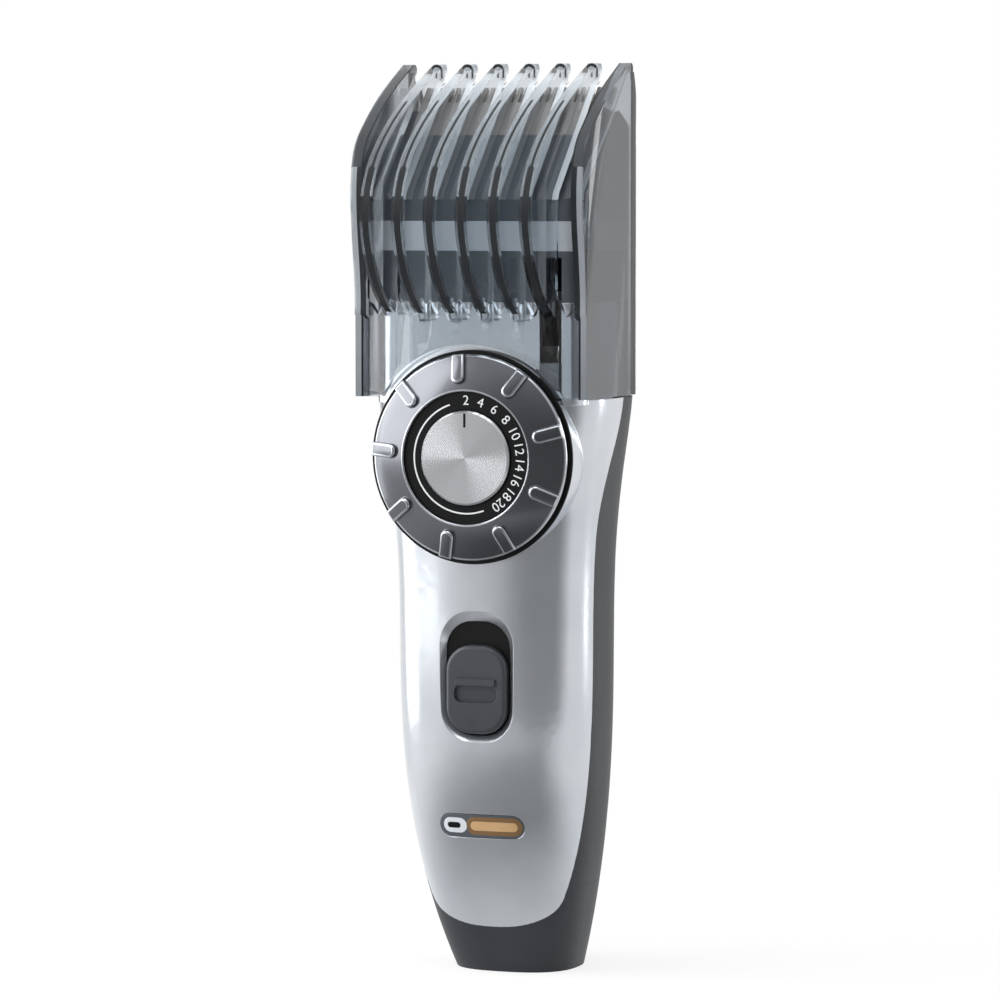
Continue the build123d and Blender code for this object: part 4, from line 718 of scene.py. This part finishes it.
@dataclass(frozen=True)
class Softbox(Panel):
    """Rectangular lamp that faces the clipper and that the lens doesn't see.

    Attributes:
        power: its power in watts.
        aim: height of the point that it faces.
    """

    power: float
    aim: float = 0.09

    def build(self) -> None:
        """Make the lamp."""
        lamp = bpy.data.lights.new(self.name, "AREA")
        lamp.shape = "RECTANGLE"
        lamp.size, lamp.size_y = self.size
        lamp.energy = self.power
        holder = bpy.data.objects.new(self.name, lamp)
        holder.location = self.middle()
        look = Vector((0.0, 0.0, self.aim)) - holder.location
        holder.rotation_euler = look.to_track_quat("-Z", "Y").to_euler()
        holder.visible_camera = False
        bpy.context.scene.collection.objects.link(holder)


@dataclass(frozen=True)
class Card(Panel):
    """Dark card that reflections see and the lens doesn't, darkest in its middle.

    Attributes:
        tone: brightness of its middle, where one is white.
        tilt: angle between it and the floor, in degrees.
        fade: where it starts and ends to turn white, as shares of its sides from its middle.
    """

    tone: float
    tilt: float = 90.0
    fade: tuple[float, float] = (0.1, 0.5)

    def build(self) -> None:
        """Make the card."""
        material, tree = new_material(f"{self.name}_felt")
        place = add_node(tree, "TexCoord").outputs["UV"]
        apart = add_node(tree, "SeparateXYZ", links={"Vector": place})
        # The card starts as a sheet of side one
        half = 0.5
        shares = []
        for side in ("X", "Y"):
            offset = add_node(tree, "Math", {"operation": "SUBTRACT", 1: half}, {0: apart.outputs[side]})
            away = add_node(tree, "Math", {"operation": "ABSOLUTE"}, {0: offset.outputs[0]})
            share = add_node(
                tree,
                "MapRange",
                {
                    "From Min": self.fade[0],
                    "From Max": self.fade[1],
                    "To Min": 1.0,
                    "To Max": 0.0,
                    "interpolation_type": "SMOOTHSTEP",
                },
                {"Value": away.outputs[0]},
            )
            shares.append(share.outputs["Result"])
        both = add_node(tree, "Math", {"operation": "MULTIPLY"}, {0: shares[0], 1: shares[1]})
        glow = add_node(
            tree, "MapRange", {"To Min": 1.0, "To Max": self.tone}, {"Value": both.outputs[0]}
        )
        felt = add_node(tree, "Emission", links={"Strength": glow.outputs["Result"]})
        add_node(tree, "OutputMaterial", links={"Surface": felt.outputs["Emission"]})
        sheet = bmesh.new()
        sheet.loops.layers.uv.new("UVMap")
        bmesh.ops.create_grid(sheet, x_segments=1, y_segments=1, size=half, calc_uvs=True)
        lean = Matrix.Rotation(math.radians(self.tilt), 4, "X")
        turn = Matrix.Rotation(math.radians(self.azimuth), 4, "Z") @ lean
        shape = Matrix.Diagonal((*self.size, 1.0, 1.0))
        spot = Matrix.Translation(self.middle())
        bmesh.ops.transform(sheet, matrix=spot @ turn @ shape, verts=sheet.verts)
        panel = mesh_object(self.name, sheet, [material])
        panel.visible_camera = False
        panel.visible_diffuse = False
        panel.visible_transmission = False
        panel.visible_shadow = False


PANELS = (
    Softbox("key_softbox", azimuth=-52.0, reach=0.9, height=0.4, size=(0.6, 0.8), power=6.0),
    Softbox("left_strip", azimuth=-80.0, reach=0.22, height=0.16, size=(0.14, 0.32), power=0.4),
    Softbox("right_strip", azimuth=126.0, reach=0.85, height=0.3, size=(0.16, 0.8), power=2.6),
    Softbox("top_softbox", azimuth=10.0, reach=0.35, height=1.1, size=(0.7, 0.7), power=4.0),
    Card("lens_card", azimuth=26.0, reach=0.2, height=0.06, size=(0.64, 0.5), tone=0.26),
    Card("foot_card", azimuth=5.0, reach=0.1, height=0.001, size=(0.28, 0.24), tone=0.26, tilt=0.0),
    Card("far_left_card", azimuth=-118.0, reach=0.9, height=0.25, size=(0.4, 1.2), tone=0.1),
)


@dataclass
class Studio:
    """Pale floor, white background, soft lights, dark cards beside the lens, and the camera.

    Attributes:
        azimuth: camera's direction from the front towards +X, in degrees.
        distance: camera's distance from the clipper's axis.
        eye_height: camera's height above the foot.
        target: point in the middle of the picture.
        frame_width: width of the picture at the clipper.
        near_clip: distance from which the camera sees.
        fill: strength of the background as a light, where one is white.
        floor_half: half side of the floor.
        paper: darkest and lightest tone of the floor.
        fibre_mm: size of the paper's fibres.
        sweep: share of plain white beside the clipper, and the reaches where the floor starts and ends
            to turn white.
    """

    azimuth: float = 21.0
    distance: float = 0.94
    eye_height: float = 0.15
    target: tuple[float, float, float] = (-0.0016, -0.0066, 0.0892)
    frame_width: float = 0.1898
    near_clip: float = 0.01
    fill: float = 0.55
    floor_half: float = 3.0
    paper: tuple[float, float] = (0.9, 0.96)
    fibre_mm: float = 3.0
    sweep: tuple[float, float, float] = (0.8, 0.05, 0.3)

    def build(self) -> None:
        """Make the whole studio."""
        self.camera()
        self.world()
        self.floor()
        for panel in PANELS:
            panel.build()

    def camera(self) -> None:
        """Make the camera at the photograph's angle."""
        lens = bpy.data.cameras.new("camera")
        lens.lens = lens.sensor_width * self.distance / self.frame_width
        lens.clip_start = self.near_clip
        eye = bpy.data.objects.new("camera", lens)
        eye.location = around(self.azimuth, self.distance, self.eye_height)
        look = Vector(self.target) - eye.location
        eye.rotation_euler = look.to_track_quat("-Z", "Y").to_euler()
        bpy.context.scene.collection.objects.link(eye)
        bpy.context.scene.camera = eye
        bpy.context.scene.view_settings.view_transform = "Standard"

    def seeing_rays(self, tree: bpy.types.NodeTree) -> bpy.types.NodeSocket:
        """Pick out the rays that see the white background: to the lens, off a mirror and through glass.

        Args:
            tree: node tree that needs to know.

        Returns:
            Socket that is one for such a ray and else zero.
        """
        path = add_node(tree, "LightPath")
        seen = path.outputs["Is Camera Ray"]
        for ray in ("Is Glossy Ray", "Is Transmission Ray"):
            either = {0: seen, 1: path.outputs[ray]}
            seen = add_node(tree, "Math", {"operation": "MAXIMUM"}, either).outputs[0]
        return seen

    def world(self) -> None:
        """Make the white background, which is a plain soft fill for all other rays."""
        world = bpy.data.worlds.new("studio")
        world.use_nodes = True
        tree = world.node_tree
        tree.nodes.clear()
        strength = add_node(
            tree, "MapRange", {"To Min": self.fill, "To Max": 1.0}, {"Value": self.seeing_rays(tree)}
        )
        backdrop = add_node(
            tree, "Background", {"Color": linear("#ffffff")}, {"Strength": strength.outputs["Result"]}
        )
        add_node(tree, "OutputWorld", links={"Surface": backdrop.outputs["Background"]})
        bpy.context.scene.world = world

    def floor(self) -> None:
        """Make the pale floor, which keeps the shadow near the clipper and goes over into white."""
        material, tree = new_material("pale_paper_sweep")
        where = add_node(tree, "TexCoord").outputs["Object"]
        fibre = add_node(
            tree, "TexNoise", {"Scale": per_metre(self.fibre_mm), "Detail": 3.0}, {"Vector": where}
        )
        tone = add_node(
            tree,
            "MapRange",
            {"To Min": self.paper[0], "To Max": self.paper[1]},
            {"Value": fibre.outputs["Fac"]},
        )
        paper = add_node(tree, "BsdfDiffuse", links={"Color": tone.outputs["Result"]})
        glow = add_node(tree, "Emission", {"Strength": 1.0})
        away = add_node(tree, "VectorMath", {"operation": "LENGTH"}, {0: where})
        near_share, near, far = self.sweep
        share = add_node(
            tree,
            "MapRange",
            {"From Min": near, "From Max": far, "To Min": near_share, "interpolation_type": "SMOOTHSTEP"},
            {"Value": away.outputs["Value"]},
        )
        white = add_node(
            tree,
            "Math",
            {"operation": "MULTIPLY"},
            {0: self.seeing_rays(tree), 1: share.outputs["Result"]},
        )
        mix = add_node(
            tree,
            "MixShader",
            links={0: white.outputs[0], 1: paper.outputs["BSDF"], 2: glow.outputs["Emission"]},
        )
        add_node(tree, "OutputMaterial", links={"Surface": mix.outputs["Shader"]})
        sheet = bmesh.new()
        bmesh.ops.create_grid(sheet, x_segments=1, y_segments=1, size=self.floor_half)
        mesh_object("floor", sheet, [material])


class DialFace(Enum):
    """Faces of the grip ring by how they look, numbered as its material slots."""

    PAINT = 0
    # The rounded edges, which carry the painted highlight
    EDGE = 1


DIAL_FINISHES: dict[DialFace, Finish] = {DialFace.PAINT: DIAL_PAINT, DialFace.EDGE: DIAL_HIGHLIGHT}


@dataclass
class Dial:
    """Length dial: conical ring with grip nubs, print of the number ring, and a spun cap with a pointer.

    Attributes:
        palette: the materials.
        height: height of the axis.
        hole: radius of the ring's hole.
        outer: radius of the ring.
        rim: thickness of the ring at its outer edge.
        rise: how far the hole's edge stands before the outer edge.
        soft_edge: rounding of the ring's edges.
        nubs: number of grip nubs.
        first_nub: direction of the first nub, from +X towards +Z, in degrees.
        nub_size: length, width and height of a nub above the cone.
        nub_root: how far a nub reaches into the ring.
        nub_middle: radius of a nub's middle.
        nub_round: rounding of a nub's inner end, as a share of its width.
        nub_edge: rounding of a nub's top edge.
        nub_crease: angle from which a nub's edge counts as sharp, in degrees.
        nub_steps: steps of the inner end's rounding and of the top edge's.
        lengths: the numbers, in millimetres of hair.
        first_number: direction of the lowest number, as for the first nub.
        number_step: angle between two numbers, in degrees.
        number_radius: radius of the numbers' middle.
        number_height: height of the numbers.
        font_share: font size for a number as high as one.
        line_radius: radius of the printed line.
        line_width: width of the printed line.
        line_arc: where the line starts and how far it goes on clockwise, in degrees.
        line_steps: straight parts of the line.
        print_lift: how far the print stands proud.
        print_weld: distance within which corners of the print are one.
        cap_depth: depth of the cap.
        cap_chamfer: broken edge of the cap.
        pointer: from and to radius, and width of the pointer.
    """

    palette: Palette
    height: float = DIAL_HEIGHT
    hole: float = 12.3 * MM
    outer: float = 19.2 * MM
    rim: float = 1.2 * MM
    rise: float = 2.4 * MM
    soft_edge: float = 0.45 * MM
    nubs: int = 9
    first_nub: float = 96.0
    nub_size: tuple[float, float, float] = (5.6 * MM, 2.6 * MM, 1.0 * MM)
    nub_root: float = 0.8 * MM
    nub_middle: float = 16.4 * MM
    nub_round: float = 0.48
    nub_edge: float = 0.45 * MM
    nub_crease: float = 50.0
    nub_steps: tuple[int, int] = (6, 4)
    lengths: range = range(2, 21, 2)
    first_number: float = 90.0
    number_step: float = 15.9
    number_radius: float = 10.62 * MM
    number_height: float = 1.9 * MM
    font_share: float = 1.35
    line_radius: float = 10.3 * MM
    line_width: float = 0.3 * MM
    line_arc: tuple[float, float] = (108.0, 182.0)
    line_steps: int = 60
    print_lift: float = 0.03 * MM
    print_weld: float = 0.0001 * MM
    cap_depth: float = 3.2 * MM
    cap_chamfer: float = 0.35 * MM
    pointer: tuple[float, float, float] = (5.7 * MM, 8.3 * MM, 0.45 * MM)

    def build(self) -> list[bpy.types.Object]:
        """Make and place every piece of the dial."""
        return [self.ring(), self.numbers(), self.line(), *self.cap()]

    def direction(self, degrees: float) -> Vector:
        """Direction across the dial, from +X towards +Z."""
        angle = math.radians(degrees)
        return Vector((math.cos(angle), 0.0, math.sin(angle)))

    def nub_mesh(self) -> bpy.types.Mesh:
        """Make one nub along X with its round end at -X and its top at +Z, standing on the origin.

        Returns:
            The nub's mesh.
        """
        length, width, tall = self.nub_size
        shape = bmesh.new()
        bmesh.ops.create_cube(shape, size=1.0)
        bmesh.ops.scale(shape, vec=(length, width, tall + self.nub_root), verts=shape.verts)
        bmesh.ops.translate(shape, vec=(0.0, 0.0, (tall - self.nub_root) / 2), verts=shape.verts)
        ends = [edge for edge in shape.edges if all(vert.co.x < 0 for vert in edge.verts)]
        inner = [edge for edge in ends if edge.verts[0].co.z * edge.verts[1].co.z < 0]
        rounded(shape, inner, width * self.nub_round, self.nub_steps[0])
        sharp = sharp_edges(shape, self.nub_crease)
        top = [edge for edge in sharp if all(vert.co.z > 0 for vert in edge.verts)]
        # The top edge's rounding carries the painted highlight
        for face in rounded(shape, top, self.nub_edge, self.nub_steps[1]):
            face.material_index = DialFace.EDGE.value
        mesh = bpy.data.meshes.new("nub")
        shape.to_mesh(mesh)
        shape.free()
        return mesh

    def ring(self) -> bpy.types.Object:
        """Make the conical grip ring with its nubs.

        Returns:
            The ring.
        """
        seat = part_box("dial_ring")[1][1]
        front = seat - self.rim - self.rise
        outline = [(self.hole, seat), (self.outer, seat), (self.outer, seat - self.rim), (self.hole, front)]
        shape = spun(outline, self.height, closed=True)
        # Every rounded edge of the ring carries the painted highlight
        for face in rounded(shape, sharp_edges(shape), self.soft_edge):
            face.material_index = DialFace.EDGE.value
        nub = self.nub_mesh()
        slope = math.atan2(self.rise, self.outer - self.hole)
        back = Vector((0.0, 1.0, 0.0))
        depth = front + self.rise * (self.nub_middle - self.hole) / (self.outer - self.hole)
        for index in range(self.nubs):
            out = self.direction(self.first_nub + index * 360.0 / self.nubs)
            along = out * math.cos(slope) + back * math.sin(slope)
            up = out * math.sin(slope) - back * math.cos(slope)
            turn = Matrix((along, up.cross(along), up)).transposed().to_4x4()
            spot = out * self.nub_middle + Vector((0.0, depth, self.height))
            add_copy(shape, nub, Matrix.Translation(spot) @ turn)
        piece = mesh_object("grip_ring", shape, [self.palette.of(DIAL_FINISHES[kind]) for kind in DialFace])
        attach(piece, Body.DIAL.value)
        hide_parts("dial_ring")
        return piece

    def numbers(self) -> bpy.types.Object:
        """Print the lengths clockwise round the number ring, the lowest at the top.

        Returns:
            The numbers, as one piece.
        """
        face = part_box("number_ring")[0][1]
        shape = bmesh.new()
        for index, length in enumerate(self.lengths):
            curve = bpy.data.curves.new("number", "FONT")
            curve.body = str(length)
            curve.size = self.number_height * self.font_share
            curve.align_x = "CENTER"
            curve.align_y = "CENTER"
            curve.extrude = self.print_lift
            curve.resolution_u = 4
            holder = bpy.data.objects.new("number", curve)
            mesh = bpy.data.meshes.new_from_object(holder)
            out = self.direction(self.first_number - index * self.number_step)
            right = Vector((out.z, 0.0, -out.x))
            turn = Matrix((right, out, Vector((0.0, -1.0, 0.0)))).transposed().to_4x4()
            spot = out * self.number_radius + Vector((0.0, face, self.height))
            add_copy(shape, mesh, Matrix.Translation(spot) @ turn)
            bpy.data.objects.remove(holder)
        bmesh.ops.remove_doubles(shape, verts=shape.verts, dist=self.print_weld)
        piece = mesh_object("length_numbers", shape, [self.palette.of(PRINT_INK)])
        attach(piece, Body.DIAL.value)
        return piece

    def line(self) -> bpy.types.Object:
        """Print the thin line on the part of the number ring that has no numbers.

        Returns:
            The line.
        """
        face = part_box("number_ring")[0][1]
        start, sweep = self.line_arc
        half = self.line_width / 2
        lift = self.print_lift
        shape = bmesh.new()
        verts = []
        for across, depth in ((-half, -lift), (half, -lift), (half, lift), (-half, lift)):
            out = self.direction(start) * (self.line_radius + across)
            verts.append(shape.verts.new(out + Vector((0.0, face + depth, self.height))))
        end = shape.faces.new(verts)
        bmesh.ops.spin(
            shape,
            geom=[end, *end.edges, *end.verts],
            cent=(0.0, 0.0, self.height),
            axis=(0.0, -1.0, 0.0),
            angle=math.radians(sweep),
            steps=self.line_steps,
        )
        bmesh.ops.recalc_face_normals(shape, faces=shape.faces)
        piece = mesh_object("number_ring_line", shape, [self.palette.of(PRINT_INK)])
        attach(piece, Body.DIAL.value)
        return piece

    def cap(self) -> list[bpy.types.Object]:
        """Make the spun cap and its pointer.

        Returns:
            The cap and the pointer.
        """
        low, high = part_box("dial_cap")
        radius = (high[0] - low[0]) / 2
        front = low[1]
        rear = front + self.cap_depth
        cut = self.cap_chamfer
        outline = [(0.0, front), (radius - cut, front), (radius, front + cut), (radius, rear), (0.0, rear)]
        disc = spun(outline, self.height, closed=False)
        piece = mesh_object("spun_cap", disc, [self.palette.of(SPUN_ALUMINIUM)])
        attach(piece, Body.HANDLE.value)
        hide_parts("dial_cap")
        bottom, top, width = self.pointer
        bar = bmesh.new()
        bmesh.ops.create_cube(bar, size=1.0)
        bmesh.ops.scale(bar, vec=(width, 2 * self.print_lift, top - bottom), verts=bar.verts)
        bmesh.ops.translate(bar, vec=(0.0, front, self.height + (bottom + top) / 2), verts=bar.verts)
        mark = mesh_object("cap_pointer", bar, [self.palette.of(BLACK_ABS)])
        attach(mark, Body.HANDLE.value)
        return [piece, mark]


class CombFace(Enum):
    """Faces of the comb by how they look, numbered as its material slots."""

    WALL = 0
    # Opaque dark lines of painted shade along the front edges and the rear of the sides
    FRONT_EDGE = 1
    # Opaque white of painted highlight on the back edges near the tips
    BACK_EDGE = 2
    SIDE = 3
    # Opaque grey of painted sheen on the end panels' front rims
    PANEL_EDGE = 4


COMB_FINISHES: dict[CombFace, Finish] = {
    CombFace.WALL: SMOKE_POLYCARBONATE,
    CombFace.FRONT_EDGE: SHADE_LINE_POLYCARBONATE,
    CombFace.BACK_EDGE: HIGHLIGHT_POLYCARBONATE,
    CombFace.SIDE: SIDE_POLYCARBONATE,
    CombFace.PANEL_EDGE: SHEEN_RIM_POLYCARBONATE,
}


@dataclass
class Comb:
    """Clear guide comb: a copy of its node whose edges carry painted shade, highlight and sheen and whose
    sides are satin, and a round end on each inner tine.

    Attributes:
        palette: the materials.
        node: the comb's node.
        apron: depth of the apron's front, before which only the tines stand.
        skirt: depth before which the end panels' front edges lie.
        slim: greatest width of a tine's edge.
        line: width of the painted-shade line along a tine's front edge.
        thin_line: its width near the tip.
        panel_line: width of the painted-shade line along an end panel's front edge.
        dark_below: height below which a front edge has its wide line.
        thin_below: height up to which a tine's thin line goes on.
        back_above: height above which a back edge carries the painted highlight.
        side: distance from the middle plane of the outer side faces.
        panel: distance from the middle plane of the end panels' inner faces.
        rear_strip: width of the painted-shade strip along the rear of each side.
        square: share of its normal along X from which a face lies across X.
        lean: share of its normal along X up to which a face is an edge.
        weld: distance within which corners of the node are one.
        flat: angle up to which neighbouring faces are one, in degrees.
        cut_snap: distance within which a corner lies on a cut.
        tines: number of inner tines.
        pitch: distance between them.
        tip: width, depth and height of a tine's round end.
        tip_band: height of the part below the top that holds the tips.
        tip_rim: thickness of the painted-shade rim round an end.
        rim_forward: how far the rim stands before the end's middle.
        rim_leg: length of the rim's straight legs.
        rim_steps: sides of the rim's section and steps of its bend.
    """

    palette: Palette
    node: bpy.types.Object
    apron: float = -27.3 * MM
    skirt: float = -24.9 * MM
    slim: float = 2.6 * MM
    line: float = 1.2 * MM
    thin_line: float = 0.5 * MM
    panel_line: float = 1.3 * MM
    dark_below: float = 152.0 * MM
    thin_below: float = 164.0 * MM
    back_above: float = 146.0 * MM
    side: float = 22.6 * MM
    panel: float = 20.5 * MM
    rear_strip: float = 4.0 * MM
    square: float = 0.98
    lean: float = 0.05
    weld: float = 0.002 * MM
    flat: float = 0.5
    cut_snap: float = 0.0001 * MM
    tines: int = 6
    pitch: float = 6.26 * MM
    tip: tuple[float, float, float] = (2.5 * MM, 2.6 * MM, 4.2 * MM)
    tip_band: float = 1.0 * MM
    tip_rim: float = 0.6 * MM
    rim_forward: float = 2.0 * MM
    rim_leg: float = 1.4 * MM
    rim_steps: tuple[int, int] = (8, 14)

    def middles(self) -> list[float]:
        """Place of each inner tine along X."""
        return [(index - (self.tines - 1) / 2) * self.pitch for index in range(self.tines)]

    def kind(self, face: bmesh.types.BMFace, rear: float) -> CombFace:
        """How a face of the comb looks.

        Args:
            face: the face.
            rear: depth of the comb's rear edge.

        Returns:
            Its kind.
        """
        middle = face.calc_center_median()
        if abs(face.normal.x) > self.square:
            if abs(middle.x) < self.side:
                return CombFace.WALL
            # A strip along the rear of each side gets painted shade
            return CombFace.FRONT_EDGE if middle.y > rear - self.rear_strip else CombFace.SIDE
        spread = [vert.co.x for vert in face.verts]
        if abs(face.normal.x) > self.lean or max(spread) - min(spread) > self.slim:
            return CombFace.WALL
        # Back edges near the tips get the painted highlight
        if face.normal.y > 0:
            return CombFace.BACK_EDGE if middle.z > self.back_above else CombFace.WALL
        low = middle.z < self.dark_below
        if abs(middle.x) > self.panel:
            if low and middle.y > self.skirt:
                return CombFace.WALL
            # An end panel's front edge gets a line of painted shade, and beside it painted sheen low down
            reach = self.panel + (self.panel_line if low else self.thin_line)
            if abs(middle.x) < reach:
                return CombFace.FRONT_EDGE
            return CombFace.PANEL_EDGE if low else CombFace.SIDE
        away = min(abs(middle.x - place) for place in self.middles())
        # A line of painted shade runs along each tine's front edge
        if low:
            dark = middle.y < self.apron and away < self.line / 2
        else:
            dark = middle.z < self.thin_below and away < self.thin_line / 2
        return CombFace.FRONT_EDGE if dark else CombFace.WALL

    def build(self) -> list[bpy.types.Object]:
        """Make the comb from its node, cut where its finishes meet.

        Returns:
            The comb and what belongs to its tines.
        """
        shape = bmesh.new()
        shape.from_mesh(self.node.data)
        bmesh.ops.remove_doubles(shape, verts=shape.verts, dist=self.weld)
        limit = math.radians(self.flat)
        bmesh.ops.dissolve_limit(shape, angle_limit=limit, verts=shape.verts, edges=shape.edges)
        rear = max(vert.co.y for vert in shape.verts if abs(vert.co.x) > self.side)
        cuts = [((0.0, rear - self.rear_strip, 0.0), (0.0, 1.0, 0.0))]
        for place in self.middles():
            for width in (self.line, self.thin_line):
                cuts += [((place + half, 0.0, 0.0), (1.0, 0.0, 0.0)) for half in (-width / 2, width / 2)]
        for away in (self.panel + self.thin_line, self.panel + self.panel_line, self.side):
            cuts += [((place, 0.0, 0.0), (1.0, 0.0, 0.0)) for place in (-away, away)]
        for spot, across in cuts:
            bmesh.ops.bisect_plane(
                shape, geom=every_part(shape), dist=self.cut_snap, plane_co=spot, plane_no=across
            )
        shape.normal_update()
        for face in shape.faces:
            face.material_index = self.kind(face, rear).value
        top = max(vert.co.z for vert in shape.verts)
        high = [vert.co for vert in shape.verts if vert.co.z > top - self.tip_band]
        tips = [place.y for place in high if abs(place.x) < self.panel]
        depth = sum(tips) / len(tips)
        piece = mesh_object("clear_comb", shape, [self.palette.of(COMB_FINISHES[kind]) for kind in CombFace])
        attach(piece, Body.COMB.value)
        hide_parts("guide_comb")
        return [piece, *self.tine_ends(top, depth)]

    def tine_ends(self, top: float, depth: float) -> list[bpy.types.Object]:
        """Make the round ends of the inner tines and the rims of painted shade round them.

        Args:
            top: height of the tips.
            depth: where the tips are along Y.

        Returns:
            The ends and the rims, each as one piece.
        """
        width, _, tall = self.tip
        sides, steps = self.rim_steps
        down = Vector((0.0, 0.0, -self.rim_leg))
        reach = Vector(((width - self.tip_rim) / 2, 0.0, 0.0))
        ends = bmesh.new()
        rims = bmesh.new()
        for place in self.middles():
            egg = Matrix.Translation((place, depth, top - tall / 2)) @ Matrix.Diagonal((*self.tip, 1.0))
            bmesh.ops.create_uvsphere(ends, u_segments=24, v_segments=16, radius=0.5, matrix=egg)
            crown = Vector((place, depth - self.rim_forward, top - width / 2))
            foot = Matrix.Translation(crown + reach)
            ring = bmesh.ops.create_circle(
                rims, cap_ends=True, segments=sides, radius=self.tip_rim / 2, matrix=foot
            )["verts"]
            first = list({face for vert in ring for face in vert.link_faces})
            leg = bmesh.ops.extrude_face_region(rims, geom=first)["geom"]
            bmesh.ops.translate(rims, vec=down, verts=ring)
            bent = of_kind(leg, bmesh.types.BMFace)
            swept = bmesh.ops.spin(
                rims, geom=bent, cent=crown, axis=(0.0, -1.0, 0.0), angle=math.pi, steps=steps
            )["geom_last"]
            last = of_kind(swept, bmesh.types.BMFace)
            end = bmesh.ops.extrude_face_region(rims, geom=last)["geom"]
            bmesh.ops.translate(rims, vec=down, verts=of_kind(end, bmesh.types.BMVert))
            # The faces between the bend and its legs would stay inside the rim
            bmesh.ops.delete(rims, geom=bent + last, context="FACES_ONLY")
        bmesh.ops.recalc_face_normals(rims, faces=rims.faces)
        # The rims are painted shade round the clear ends
        pieces = [
            mesh_object("tine_ends", ends, [self.palette.of(TIP_POLYCARBONATE)]),
            mesh_object("tine_end_shade_rims", rims, [self.palette.of(SHADE_LINE_POLYCARBONATE)]),
        ]
        for piece in pieces:
            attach(piece, Body.COMB.value)
        return pieces


@dataclass(frozen=True)
class Pill:
    """Pill-shaped field of the charging light's window.

    Attributes:
        name: the piece's name.
        middle: its middle along X.
        size: its width and height.
        layer: how many lifts it stands proud of the lens.
        finish: its finish.
        slot: material slot of the record; not used.
    """

    name: str
    middle: float
    size: tuple[float, float]
    layer: int
    finish: Finish
    slot: str


PILLS = (
    Pill("light_surround", -5.25 * MM, (4.83 * MM, 2.9 * MM), 1, BAND_ABS, "head_light"),
    Pill("light_slot", -5.5 * MM, (2.65 * MM, 1.1 * MM), 2, BLACK_ABS, "number_black"),
    Pill("amber_surround", 2.6 * MM, (11.05 * MM, 3.5 * MM), 1, BROWN_ACRYLIC, "lens_amber"),
    Pill("amber_window", 2.55 * MM, (9.3 * MM, 1.8 * MM), 2, AMBER_ACRYLIC, "lens_amber"),
)


@dataclass
class Indicator:
    """Charging light's window: printed fields that lie on the curved lens.

    Attributes:
        palette: the materials.
        lens: the window's node.
        lift: how far each field stands before the one behind it.
        depth: how far the fields reach into the lens.
        strips: parts that a field is cut into, so that it follows the curve.
        sides: sides of a field's two round ends together.
        before: depth from which the lens is felt for.
    """

    palette: Palette
    lens: bpy.types.Object
    lift: float = 0.04 * MM
    depth: float = 0.25 * MM
    strips: int = 12
    sides: int = 32
    before: float = -1.0

    def build(self) -> list[bpy.types.Object]:
        """Make every field of the window."""
        return [self.field(pill) for pill in PILLS]

    def field(self, pill: Pill) -> bpy.types.Object:
        """Make one field on the lens.

        Args:
            pill: what it is like.

        Returns:
            The field.
        """
        width, height = pill.size
        low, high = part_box("indicator_lens")
        level = (low[2] + high[2]) / 2
        shape = bmesh.new()
        bmesh.ops.create_circle(shape, cap_ends=True, segments=self.sides, radius=height / 2)
        for vert in shape.verts:
            if abs(vert.co.x) > WELD:
                vert.co.x += math.copysign((width - height) / 2, vert.co.x)
        stand = Matrix.Translation((pill.middle, 0.0, level)) @ Matrix.Rotation(math.radians(90), 4, "X")
        bmesh.ops.transform(shape, matrix=stand, verts=shape.verts)
        for index in range(1, self.strips):
            cut = (pill.middle + width * (index / self.strips - 0.5), 0.0, 0.0)
            bmesh.ops.bisect_plane(shape, geom=every_part(shape), plane_co=cut, plane_no=(1.0, 0.0, 0.0))
        bmesh.ops.remove_doubles(shape, verts=shape.verts, dist=WELD)
        solid = bmesh.new()
        solid.from_mesh(self.lens.data)
        surface = BVHTree.FromBMesh(solid)
        solid.free()
        for vert in shape.verts:
            hit = surface.ray_cast(Vector((vert.co.x, self.before, vert.co.z)), Vector((0.0, 1.0, 0.0)))[0]
            vert.co.y = hit.y - pill.layer * self.lift
        made = bmesh.ops.extrude_face_region(shape, geom=shape.faces[:])["geom"]
        bmesh.ops.translate(shape, vec=(0.0, self.depth, 0.0), verts=of_kind(made, bmesh.types.BMVert))
        bmesh.ops.recalc_face_normals(shape, faces=shape.faces)
        piece = mesh_object(pill.name, shape, [self.palette.of(pill.finish)])
        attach(piece, Body.HANDLE.value)
        return piece


def dress(node: bpy.types.Object, material: bpy.types.Material) -> None:
    """Give a node of the frame its one material."""
    node.data.materials.clear()
    node.data.materials.append(material)


def main() -> None:
    """Load the frame, dress its nodes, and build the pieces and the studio."""
    logging.basicConfig(level=logging.INFO, format="%(name)s: %(message)s")
    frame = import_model()
    palette = Palette()
    nodes = frame["nodes"]
    for name, finish in NODE_FINISHES.items():
        dress(nodes[name], palette.of(finish))
        LOG.info("%s: %s", name, finish.name)
    dial = Dial(palette)
    comb = Comb(palette, nodes["guide_comb"])
    indicator = Indicator(palette, nodes["indicator_lens"])
    for assembly in (dial, comb, indicator):
        for piece in assembly.build():
            LOG.info("%s: %d faces", piece.name, len(piece.data.polygons))
    Studio().build()


if __name__ == "__main__":
    main()
